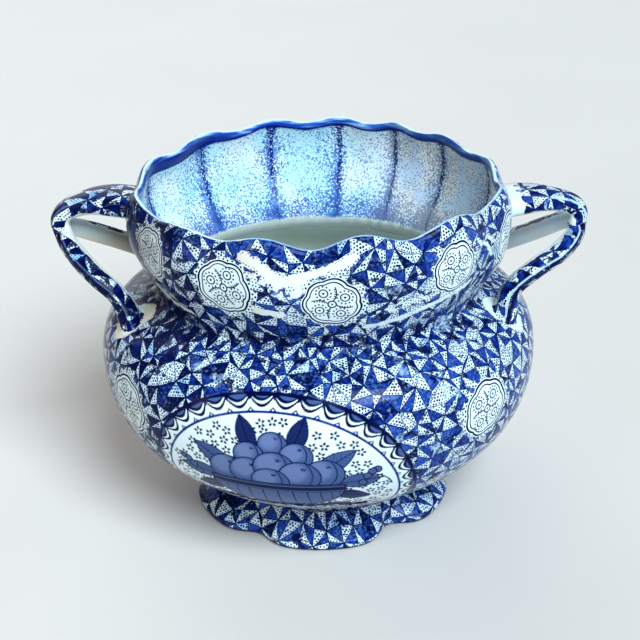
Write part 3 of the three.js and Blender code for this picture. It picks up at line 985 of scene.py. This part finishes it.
# The panel's picture, in mm from its middle: leaves as (centre x, centre y, half length, half width,
# turn), fruit as (centre x, centre y, radius) and stems by their tips.
BACK_LEAVES = [(-34, 22, 16, 6, 150), (33, 24, 16, 6, 32), (-15, 41, 12, 5.5, 110), (14, 42, 12, 5.5, 70)]
SIDE_LEAVES = [(-46, 8, 13, 6, 178), (47, 9, 13, 6, 3), (-41, -6, 12, 5.5, 200), (41, -5, 12, 5.5, -22)]
FRUIT = [
    (0, 36, 8.5), (-14, 28, 9), (13, 29, 9.5), (-28, 15, 11), (28, 16, 11.5), (-15, 15, 11.5), (0, 20, 12),
    (14, 14, 12), (-3, 9, 11),
]
STEMS = [(-55, 12), (56, 14)]
SCALLOPS = 36
SCALLOP_WIDTH = 11.2


def arc_share(aside, inwards, half_width, depth):
    """How far a point hangs below a shallow arc between two cusps, in mm."""
    return inwards - depth * (1 - (aside / half_width) ** 2)


def draw_fringe(canvas, x, y, outside):
    """The panel's border: festoons hung from a thick line, over a thinner one with ticks."""
    around = np.arctan2(y * PANEL_WIDTH / PANEL_HEIGHT, x)
    turn = around / (2 * math.pi) * SCALLOPS
    aside = (turn - np.floor(turn) - 0.5) * SCALLOP_WIDTH
    off_cusp = np.abs(np.abs(aside) - SCALLOP_WIDTH / 2)
    inwards = PANEL_FRINGE - outside + 0.3 * np.sin(3 * np.floor(turn))
    broken = 1.3 + 0.5 * np.sin(9 * around) + 0.4 * np.sin(23 * around + 1)
    layers = [
        (line_share(arc_share(aside, inwards, 6.3, 7.2), 1.8), NAVY),
        (fill_share(arc_share(aside - 0.3, inwards, 5.8, 4.7)), NAVY),
        (fill_share(arc_share(aside + 0.3, inwards, 4.6, 3.1)), SLATE),
        (fill_share(off_cusp - 1.7 + inwards * 0.42), NAVY),
        (fill_share(off_cusp - 2.3 + (outside - 0.4) * 0.85), COBALT),
        (fill_share(np.hypot(off_cusp, outside - 1.3) - 0.5), WHITE),
    ]
    mark(canvas, fill_share(-outside), WHITE)
    for share, colour in layers:
        mark(canvas, share * (outside > 0), colour)
    mark(canvas, line_share(outside - 0.2, 1.4), COBALT)
    mark(canvas, line_share(outside - PANEL_FRINGE, broken * 1.6), NAVY)


def draw_stem(canvas, x, y, tip_x, tip_y):
    """A bent stem with four berries."""
    side = 1 if tip_x > 0 else -1
    curl = np.hypot(x - tip_x + side * 4, y - tip_y + 14) - 14
    mark(canvas, line_share(curl, 0.9) * (y > tip_y - 12) * (side * (x - tip_x) > -6), INK)
    for k in range(4):
        berry = (tip_x - side * (k * 3 - 2), tip_y + 3 - k * k * 1.1, 2.5, 2.5, 0)
        draw_shape(canvas, ellipse(x, y, berry)[0], SLATE)


def draw_bowl(canvas, x, y):
    """A low ribbed bowl on a short foot, with a dark band."""
    body = np.maximum(ellipse(x, y, (0, 6, 39, 27, 0))[0], y - 7)
    draw_shape(canvas, body, SLATE, 1.0)
    inside = fill_share(body + 0.4)
    rib = np.arcsin(np.clip(x / 39, -1, 1)) / (math.pi / 14)
    mark(canvas, line_share((rib - np.round(rib)) * 7, 0.7) * inside * (y < 0), INK)
    mark(canvas, inside * fill_share(np.abs(y - 2.8) - 1.7), NAVY)
    mark(canvas, inside * line_share(np.abs(y - 2.8) - 3.1, 0.6), INK)
    draw_shape(canvas, np.maximum(np.abs(x) - 13 + (y + 21) * 0.6, np.abs(y + 22) - 3), DUSK)


def draw_panel(x, y, outside):
    """A white oval with a border of festoons. In it stands a low bowl of round fruit and leaves."""
    canvas = np.tile(np.array(WHITE), (len(x), 1))
    # Painted reflection: the white warms to cream towards the panel's foot, as if reflecting a warm floor.
    painted_warm_reflection = smooth(-8, -32, y)[:, None]
    canvas += (np.array(CREAM) - canvas) * painted_warm_reflection * 0.8
    for row in range(14):
        for column in range(-9, 10):
            spread = rng.uniform(-1.4, 1.4, 3)
            cx, cy = column * 7.4 + row % 2 * 3.7 + spread[0], 49 - row * 6.4 + spread[1]
            if oval_distance(np.array([cx]), np.array([cy]))[0] < -4.5:
                draw_floret(canvas, x, y, cx, cy, spread[2])
    for k in range(9):
        patch = ellipse(x, y, (-40 + 10 * k, -21 + 2.5 * math.sin(k * 2.1), 9, 3.6, 4 * math.sin(k)))[0]
        mark(canvas, fill_share(patch + np.sin(x * 1.3) * 0.6), NAVY)
    for leaf in SIDE_LEAVES + BACK_LEAVES:
        draw_leaf(canvas, x, y, leaf, SLATE if leaf[3] > 5.7 else DUSK)
    for tip in STEMS:
        draw_stem(canvas, x, y, *tip)
    for fruit in FRUIT:
        draw_fruit(canvas, x, y, *fruit)
    draw_bowl(canvas, x, y)
    draw_fringe(canvas, x, y, outside)
    return canvas, fill_share(outside - PANEL_FRINGE - 1.0)


def bowl_fineness(angle, along):
    cut = coarse(angle, along)
    for centre, middle in PANELS:
        x, y = panel_place(BOWL, angle, along, centre, middle)
        cut[oval_distance(x, y) < PANEL_FRINGE + 5] = FINE
    return cut


def coarse(angle, along):
    return np.full(len(angle), COARSE)


# The collar's unprinted ribbons: half width, and points as (angle round the pot, mm up the skin).
RIBBONS = [
    (3.2, [(-21.5, 61), (-17, 57), (-10, 49)]),
    (2.6, [(-10, 49), (-4, 47), (-7, 41)]),
    (3.2, [(-7, 51), (0, 56), (9, 60)]),
    (1.3, [(-23, 55), (-17, 50), (-12, 46), (-10, 38)]),
    (2.4, [(-23, 35), (-17, 29), (-11, 27)]),
    (1.9, [(13, 15), (25, 18), (36, 24), (48, 31)]),
    (1.2, [(12, 22), (24, 27), (35, 31)]),
    (0.8, [(16, 27), (26, 31), (34, 36)]),
    (2.0, [(-62, 20), (-52, 14), (-44, 12)]),
    (1.6, [(50, 55), (57, 47), (61, 38)]),
    (1.0, [(54, 57), (62, 45), (64, 33)]),
    (2.4, [(100, 52), (108, 40), (116, 36)]),
    (2.2, [(150, 57), (160, 50), (168, 54)]),
    (2.4, [(-150, 30), (-142, 38), (-133, 34)]),
]
# The arms' bare places on the collar, as degrees from the front and mm up the skin.
ARM_PLACES = [(90, 48), (-90, 48)]
# The collar's mean radius, which turns its angles into mm.
UNROLLED_RADIUS = 112
FOOT_BARE_RADIUS = 12.5


def no_blank(angle, along):
    return np.full(len(angle), FAR_OFF)


def ribbon_distance(angle, along):
    """How far a point of the collar is from the nearest ribbon or arm, less half its width."""
    best = no_blank(angle, along)
    point = np.stack([angle * UNROLLED_RADIUS, along], -1)
    for half_width, places in RIBBONS:
        corners = np.array([(place * DEGREE * UNROLLED_RADIUS, up) for place, up in places])
        for a, b in zip(corners, corners[1:]):
            share = np.clip(((point - a) @ (b - a)) / ((b - a) @ (b - a)), 0, 1)
            gap = np.linalg.norm(point - a - share[:, None] * (b - a), axis=1) - half_width
            best = np.minimum(best, gap)
    for place, up in ARM_PLACES:
        arm = np.array([place * DEGREE * UNROLLED_RADIUS, up])
        best = np.minimum(best, np.linalg.norm((point - arm) / (1.6, 0.75), axis=1) - 11)
    return best


def foot_distance(angle, along):
    """How far a point of the bowl is from a handle's foot, less the width of the bare place round it."""
    best = no_blank(angle, along)
    for side in (-1, 1):
        for turn, (foot_height, spread) in ((-1, FRONT_FOOT), (1, BACK_FOOT)):
            middle = np.interp(foot_height, BOWL.profile[:, 1], BOWL.marks)
            across = (angle * side - math.pi / 2 - turn * spread) * BOWL.radius(along)
            gap = np.hypot(across - turn, (along - middle) * 0.8) - FOOT_BARE_RADIUS
            best = np.minimum(best, gap)
    return best


def foot_ring(print_material, plain_material):
    edge = bezier(*FOOT_EDGE)
    rounding = bezier((FOOT_BORE_RADIUS, 2), (FOOT_BORE_RADIUS, 0), (FOOT_BORE_RADIUS + 2, 0))
    bore = np.linspace((FOOT_BORE_RADIUS, FOOT_HEIGHT), rounding[0], 20)
    inner = Skin(joined(bore, rounding, np.linspace(rounding[-1], edge[0], 20)))
    outer = Skin(joined(edge, bezier(*FOOT_SKIRT)))
    sheets = [grid(inner, columns=240, rows=24)]
    sheets += net(outer, FOOT_COLUMNS, FOOT_ROWS, FOOT_JITTER, coarse, [], no_blank)
    return made("foot_ring_glazed", sheets, [print_material, plain_material])


def bowl(print_material, plain_material):
    wall = moved_in(BOWL_OUTSIDE[::-1], -WALL)
    wall[0] = WAIST_RADIUS - WALL, WAIST_HEIGHT
    wall = wall[wall[:, 1] > FLOOR_HEIGHT + 5]
    end = wall[-1]
    corner = bezier(end, (end[0] - 5, FLOOR_HEIGHT), (end[0] - 15, FLOOR_HEIGHT))
    hollow = Skin(joined(wall, corner, np.linspace(corner[-1], (0.01, FLOOR_HEIGHT), 30)))
    under = Skin(np.linspace((0.01, FOOT_HEIGHT), (FOOT_TOP_RADIUS, FOOT_HEIGHT), 30))
    sheets = [grid(under, columns=120, rows=8), grid(hollow, columns=180, rows=60)]
    sheets += net(BOWL, BOWL_COLUMNS, BOWL_ROWS, JITTER, bowl_fineness, BOWL_ROUNDELS, foot_distance)
    return made("bowl_glazed", sheets, [print_material, plain_material])


def collar(print_material, sponge_material):
    sheets = [grid(COLLAR_INSIDE, columns=432, rows=46)]
    sheets += net(COLLAR, COLLAR_COLUMNS, COLLAR_ROWS, JITTER, coarse, COLLAR_ROUNDELS, ribbon_distance)
    return made("collar_glazed", sheets, [print_material, sponge_material])


# Handles: straps fused with a patch of the wall, so that they flow into it

# The ridge along a leg: its height in mm, and how far round from the strap's outer face it stands.
RIDGE = 1.2
RIDGE_TURN = 1.67
# An arm's path, as shares of the way (out to the crown, down from the arm's top to the split).
ARM_PATH = [(0.15, 0.01), (0.5, 0.05), (0.83, 0.31), (0.985, 0.67), (1, 1.28)]
# A leg's path from the split to the foot, as shares of the way up, inwards to the split and out to the
# crown. The first place is inside the arm, and the last one inside the wall.
LEG_UPS = (1.1, 0.96, 0.86, 0.72, 0.58, 0.33, 0, -0.25)
BACK_UPS = (1.1, 0.96, 0.84, 0.64, 0.42, 0.20, 0, -0.25)
FRONT_INWARDS = (1, 0.95, 0.69, 0.35, 0.10, 0, 0, -0.02)
BACK_INWARDS = (1, 0.96, 0.78, 0.56, 0.35, 0.13, 0, -0.04)
RIGHT_OUTS = (1, 0.97, 0.91, 0.67, 0.36, 0.07, 0, -0.1)
LEFT_OUTS = (1, 0.95, 0.85, 0.64, 0.43, 0.15, 0, -0.1)
BACK_OUTS = (1, 0.99, 0.84, 0.6, 0.35, 0.14, 0, -0.1)
# Heights, and each foot as (height, radians off the side). Widths and depths are in mm.
ARM_TOP_HEIGHT = 196
SPLIT_HEIGHT = 181
FRONT_FOOT = (136, 18.5 * DEGREE)
BACK_FOOT = (140.5, 23.5 * DEGREE)
LEG_TOP_WIDTH = 9
LEG_FOOT_WIDTH = 22
ARM_ROOT_WIDTH = 36
ARM_ROOT_DEPTH = 9
STRAP_SIDES = 36
# The patch of wall that a handle is fused with: degrees from the front, mm up the body and its depth.
PATCH_ANGLES = (52, 134)
PATCH_BOTTOM = BOWL.length - 62
PATCH_DEPTH = 7
VOXEL = 0.9
EASING_ROUNDS = 8


def through(points, steps=30):
    """A smooth curve through points."""
    points = np.array(points, float)
    padded = np.concatenate([[2 * points[0] - points[1]], points, [2 * points[-1] - points[-2]]])
    share = np.linspace(0, 1, steps, endpoint=False)[:, None]
    pieces = []
    for a, b, c, d in zip(padded, padded[1:], padded[2:], padded[3:]):
        bend = (2 * a - 5 * b + 4 * c - d) * share**2 + (3 * b - a - 3 * c + d) * share**3
        pieces.append(b + (c - a) * share / 2 + bend / 2)
    return np.concatenate([*pieces, points[-1:]])


def squared(value):
    return np.sign(value) * np.abs(value) ** 0.7


class Strap:
    """A bent strap: its middle line, and at each point of it its frame, width and depth."""

    def __init__(self, points, size, lateral):
        path = through(points)
        lengths = lengths_along(path)
        self.marks = np.linspace(0, lengths[-1], 70)
        self.middle = np.stack([np.interp(self.marks, lengths, path[:, k]) for k in range(3)], 1)
        along = unit(np.gradient(self.middle, axis=0))
        self.across = unit(np.array([0, 1, 0]) - along * along[:, 1:2])
        self.out = np.cross(along, self.across)
        self.size = np.array([size(share) for share in np.linspace(0, 1, len(self.marks))])
        self.lateral = lateral

    def mesh(self):
        """The strap's closed skin, with a ridge along the edge between its outer and its side face."""
        turn = np.arange(STRAP_SIDES) / STRAP_SIDES * 2 * math.pi
        x = squared(np.cos(turn)) * self.size[:, :1] / 2
        y = squared(np.sin(turn)) * self.size[:, 1:] / 2
        if self.lateral:
            ridge = bump(turn - math.pi / 2 + self.lateral * RIDGE_TURN, 0, 0.3) * RIDGE
            ridge = ridge * smooth(10, 26, self.marks)[:, None]
            x, y = x + self.lateral * ridge, y + ridge * 0.3
        aside, up = self.across[:, None] * x[..., None], self.out[:, None] * y[..., None]
        points = self.middle[:, None] + aside + up
        index = np.arange(points.shape[0] * STRAP_SIDES).reshape(-1, STRAP_SIDES)
        sides = cells(np.concatenate([index, index[:, :1]], 1))
        faces = np.stack(sides, -1).reshape(-1, 4).tolist()
        return points.reshape(-1, 3), faces + [index[0][::-1].tolist(), index[-1].tolist()]


def straps(reach, sag, root_lift, crown_lift, front_outs):
    """The arm, the front leg and the back leg of a handle, made on the right."""

    def arm_size(share):
        root, crown = 1 - smooth(0.15, 0.75, share), smooth(0.55, 0.95, share)
        end = smooth(0.84, 1.0, share)
        width = 2 * LEG_TOP_WIDTH + (ARM_ROOT_WIDTH - 2 * LEG_TOP_WIDTH) * root - 3 * end
        return width, 11.5 + 2.5 * root + 1 * crown - 3.5 * end

    def leg_size(share):
        free, spread = smooth(0.08, 0.35, share), smooth(0.66, 1.0, share)
        width = LEG_TOP_WIDTH + 4 * free
        return width + (LEG_FOOT_WIDTH - width) * spread, 11 + 5 * spread

    def arm_height(out, down):
        lift = (root_lift + (crown_lift - root_lift) * out) * max(0, 1 - down)
        return ARM_TOP_HEIGHT - (ARM_TOP_HEIGHT - SPLIT_HEIGHT) * down + lift

    def leg(side, foot, ups, outs, inwards, drop):
        foot_height, spread = foot
        foot_radius = np.interp(foot_height, *BOWL_OUTSIDE[:, ::-1].T)
        foot_x, foot_y = foot_radius * math.cos(spread), foot_radius * math.sin(spread)
        path = []
        for out, inward, up in zip(outs, inwards, ups):
            bow = drop * math.sin(math.pi * min(max(up, 0), 1))
            x = foot_x + (reach - foot_x) * out + bow * 0.6
            y = side * (foot_y + (LEG_TOP_WIDTH / 2 - foot_y) * inward)
            path.append((x, y, foot_height + (SPLIT_HEIGHT - foot_height) * up - bow))
        return Strap(path, leg_size, side)

    arm = [(COLLAR_RADIUS - ARM_ROOT_DEPTH, 0, ARM_TOP_HEIGHT - 2 + root_lift)]
    for out, down in ARM_PATH:
        arm.append((COLLAR_RADIUS + (reach - COLLAR_RADIUS) * out, 0, arm_height(out, down)))
    front_leg = leg(-1, FRONT_FOOT, LEG_UPS, front_outs, FRONT_INWARDS, 0)
    back_leg = leg(1, BACK_FOOT, BACK_UPS, BACK_OUTS, BACK_INWARDS, sag)
    return [Strap(arm, arm_size, 0), front_leg, back_leg]


def wall_patch(side):
    """A slab of the pot's wall round a handle, as a closed mesh."""
    angle = np.linspace(*PATCH_ANGLES, 114) * DEGREE * side
    along = np.linspace(PATCH_BOTTOM, BODY.length - 6, 110)
    angles, alongs = (value.ravel() for value in np.meshgrid(angle, along))
    outer = BODY.at(angles, alongs)
    inner = outer - BODY.normal(angles, alongs) * PATCH_DEPTH
    index = np.arange(len(outer)).reshape(len(along), len(angle))
    faces = []
    for grid_index, flip in ((index, side < 0), (index + len(outer), side > 0)):
        quads = np.stack(cells(grid_index), -1).reshape(-1, 4)
        faces += (quads[:, ::-1] if flip else quads).tolist()
    loop = [*index[0], *index[1:, -1], *index[-1, -2::-1], *index[-2:0:-1, 0]]
    for a, b in zip(loop, loop[1:] + loop[:1]):
        quad = [a, a + len(outer), b + len(outer), b]
        faces.append([int(k) for k in (quad[::-1] if side < 0 else quad)])
    return np.concatenate([outer, inner]), faces


def fused(meshes):
    """Closed meshes melted into one skin whose inner corners are rounded: its points and triangles."""
    points, faces, start = [], [], 0
    for places, polygons in meshes:
        points += (places * MM).tolist()
        faces += [[k + start for k in polygon] for polygon in polygons]
        start += len(places)
    mesh = bpy.data.meshes.new("clay")
    mesh.from_pydata(points, [], faces)
    clay = placed("clay", mesh)
    remesh = clay.modifiers.new("fuse", "REMESH")
    remesh.mode = "VOXEL"
    remesh.voxel_size = VOXEL * MM
    ease = clay.modifiers.new("ease", "SMOOTH")
    ease.factor = 0.5
    ease.iterations = EASING_ROUNDS
    even = clay.evaluated_get(bpy.context.evaluated_depsgraph_get()).to_mesh()
    even.calc_loop_triangles()
    places = np.zeros(len(even.vertices) * 3)
    normals = np.zeros(len(even.vertices) * 3)
    triangles = np.zeros(len(even.loop_triangles) * 3, np.int32)
    even.vertices.foreach_get("co", places)
    even.vertices.foreach_get("normal", normals)
    even.loop_triangles.foreach_get("vertices", triangles)
    bpy.data.objects.remove(clay)
    bpy.data.meshes.remove(mesh)
    return places.reshape(-1, 3) / MM, normals.reshape(-1, 3), triangles.reshape(-1, 3)


def above_wall(places):
    """How far points stand out from the pot's wall, and the way that the wall faces there."""
    x, y, height = places.T
    aside = x - lean(height)
    angle = np.arctan2(aside, -y)
    along = np.interp(height - rim_rise(angle, height), BODY.profile[:, 1], BODY.marks)
    normal = BODY.normal(angle, along)
    return ((places - BODY.at(angle, along)) * normal).sum(1), normal


def strap_marks(strap, places):
    """For each point: how far it is from a strap's middle line, and its place along and round it."""
    gaps = np.linalg.norm(places[:, None] - strap.middle[None], axis=2)
    nearest = gaps.argmin(1)
    offset = places - strap.middle[nearest]
    aside = (offset * strap.across[nearest]).sum(1)
    out = (offset * strap.out[nearest]).sum(1)
    return gaps.min(1), strap.marks[nearest], aside, out, strap.size[nearest]


def arm_marks(arm, places, bare_root):
    """What an arm's points know: place along and across, how far inside the print, and off the ridge."""
    _, along, aside, out, size = strap_marks(arm, places)
    print_edge = np.minimum(out + size[:, 1] * 0.28, along - ARM_ROOT_DEPTH - bare_root)
    unrolled = aside + np.sign(aside) * (size[:, 1] / 2 - out)
    ridge = size[:, 0] * 0.42 - np.abs(aside) + 12 * (1 - smooth(20, 34, along))
    return np.stack([along, unrolled, print_edge, ridge, 0 * ridge], 1)


def leg_marks(number, leg, places, arm_length, bare_crook):
    """What a leg's points know, as for an arm. The place along goes on from the arm's."""
    _, along, aside, out, size = strap_marks(leg, places)
    aside = aside * leg.lateral
    turn = np.arctan2(out, aside)
    girth = (size[:, 0] + size[:, 1]) / 3.4
    low, high = (-1.6, 2.9) if number == 1 else (-1.85, 2.1)
    edge = np.minimum(turn - low, high - turn) * girth - bare_crook * bump(along, 12, 11)
    edge = np.minimum(edge, (leg.marks[-1] - 9 - along) * 0.8)
    ridge = np.where(aside > size[:, 0] * 0.2, out + size[:, 1] * 0.10, 9)
    strip = np.where(ridge < 9, ridge, 0)
    return np.stack([arm_length + along, turn * girth + 20 * number, edge, ridge, strip], 1)


def handle_marks(parts, places, bare_root, bare_crook):
    """What each point of a handle knows, from the arm or the leg that it belongs to."""
    arm, *legs = parts
    is_arm = places[:, 2] > SPLIT_HEIGHT
    result = arm_marks(arm, places, bare_root)
    for number, leg in enumerate(legs, 1):
        here = ~is_arm & (1 + (places[:, 1] > 0) == number)
        result[here] = leg_marks(number, leg, places, arm.marks[-1] * 0.93, bare_crook)[here]
    return result


def handle(side_name, material):
    """The three pieces of one handle, cut from one fused skin."""
    side = 1 if side_name == "right" else -1
    if side > 0:
        parts = straps(reach=158.5, sag=2.5, root_lift=-2.7, crown_lift=0, front_outs=RIGHT_OUTS)
        bare_root, bare_crook = 8, 0
    else:
        parts = straps(reach=155, sag=0, root_lift=1.3, crown_lift=2.7, front_outs=LEFT_OUTS)
        bare_root, bare_crook = -6, 6
    mirror = np.array([side, 1, 1])
    meshes = []
    for strap in parts:
        places, faces = strap.mesh()
        meshes.append((places * mirror, faces if side > 0 else [polygon[::-1] for polygon in faces]))
    places, normals, faces = fused([*meshes, wall_patch(side)])
    # Only what stands out from the wall is kept, below the rim and near the straps. Its edge is sunk
    # a little into the wall, and shaded as the wall is, so that no seam shows.
    proud, wall_normal = above_wall(places)
    kept = (proud[faces] > 0.12).any(1) & (places[faces][:, :, 2] < LIP_HEIGHT).all(1)
    kept &= (np.abs(places[faces][:, :, 1] - 4) < 62).all(1)
    to_strap = np.min([strap_marks(strap, places * mirror)[0] for strap in parts], axis=0)
    kept &= (to_strap < np.where(places[:, 2] > SPLIT_HEIGHT - 10, 28, 17))[faces].all(1)
    places = places - wall_normal * (0.15 * (1 - smooth(0.12, 0.9, proud)))[:, None]
    share = smooth(0.1, 1.6, proud)[:, None]
    normals = normals * share + wall_normal * (1 - share)
    marks = handle_marks(parts, places * mirror, bare_root, bare_crook)
    middle = places[faces].mean(1)
    is_arm = middle[:, 2] > SPLIT_HEIGHT
    in_front = middle[:, 1] < 0
    choices = {"arm": is_arm, "front_leg": ~is_arm & in_front, "back_leg": ~is_arm & ~in_front}
    for part, chosen in choices.items():
        picked = faces[kept & chosen]
        corners = blank_corners(len(picked))
        corners["wrap"] = marks[picked][..., :3]
        corners["edge"][..., :2] = marks[picked][..., 3:]
        name = f"handle_{side_name}_{part}"
        yield name, made(f"{name}_glazed", [sheet(places, normals, picked, corners)], [material])


# Camera, lights and floor


def camera():
    """The photograph's view: its distance, height, focal length, tilt and framing."""
    data = bpy.data.cameras.new("camera")
    data.sensor_width = 36
    data.lens = 80.3
    data.shift_x = 0.0025
    data.shift_y = 0.0175
    data.clip_end = 20
    made_camera = placed("camera", data)
    turn = Matrix.Rotation(63.9 * DEGREE, 4, "X") @ Matrix.Rotation(-1.04 * DEGREE, 4, "Z")
    made_camera.matrix_world = Matrix.Translation((0, -0.8082, 0.5029)) @ turn
    bpy.context.scene.camera = made_camera


def lamp(name, place, target, size, power, colour):
    """A soft box that faces a target."""
    data = bpy.data.lights.new(name, "AREA")
    data.shape = "RECTANGLE"
    data.size, data.size_y = size
    data.energy = power
    data.color = colour
    made_lamp = placed(name, data)
    made_lamp.location = place
    made_lamp.rotation_euler = (Vector(target) - Vector(place)).to_track_quat("-Z", "Y").to_euler()


def sun(name, way, power, spread, colour):
    """A far light that comes from this way. The wider its spread in degrees, the softer its shadows."""
    data = bpy.data.lights.new(name, "SUN")
    data.energy = power
    data.angle = spread * DEGREE
    data.color = colour
    placed(name, data).rotation_euler = Vector(way).to_track_quat("Z", "Y").to_euler()


def studio():
    world = bpy.data.worlds.new("studio")
    world.use_nodes = True
    world.node_tree.nodes["Background"].inputs[0].default_value = (0.82, 0.83, 0.85, 1)
    world.node_tree.nodes["Background"].inputs[1].default_value = 0.28
    bpy.context.scene.world = world
    bpy.context.scene.view_settings.view_transform = "Standard"
    bpy.context.scene.view_settings.look = "Medium High Contrast"
    sun("window", (0.32, -0.62, 0.716), 3.3, 30, (0.80, 0.92, 1.0))
    sun("room", (-0.35, 0.8, 0.5), 0.8, 60, (1.0, 1.0, 1.0))
    lamp("warm_side", (-1.2, -0.9, 0.4), (0, 0, 0.1), (0.6, 0.6), 3, (1.0, 0.84, 0.66))


def floor():
    material, tree, place = fresh_material("floor")
    cloud = noise(place, 0.3, 2.0)
    colour = blend(cloud, (0.66, 0.64, 0.61), (0.71, 0.69, 0.66))
    surfaced(tree, {"Base Color": colour, "Roughness": 0.6})
    mesh = bpy.data.meshes.new("floor")
    far = 8
    mesh.from_pydata([(-far, -far, 0), (far, -far, 0), (far, far, 0), (-far, far, 0)], [], [(0, 1, 2, 3)])
    mesh.materials.append(material)
    placed("floor", mesh)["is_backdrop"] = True


camera()
studio()
floor()
print_material = glazed("printed_glaze", printed_glaze)
plain_material = glazed("plain_glaze", plain_glaze)
pieces = {
    "foot_ring": (foot_ring(print_material, plain_material), "printed_glaze"),
    "bowl": (bowl(print_material, plain_material), "printed_glaze"),
    "collar": (
        collar(glazed("collar_print", collar_print), glazed("sponged_glaze", sponged_glaze)),
        "collar_glaze",
    ),
}
strap_material = glazed("strap_print", strap_print)
for side_name in ("left", "right"):
    for name, piece in handle(side_name, strap_material):
        pieces[name] = (piece, "handle_glaze")
for name, (piece, slot) in pieces.items():
    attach(piece, "root")
    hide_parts(name)

boxes = {"cad": cad_box, "visual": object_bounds()}
{key: [list(corner) for corner in box] for key, box in boxes.items()}
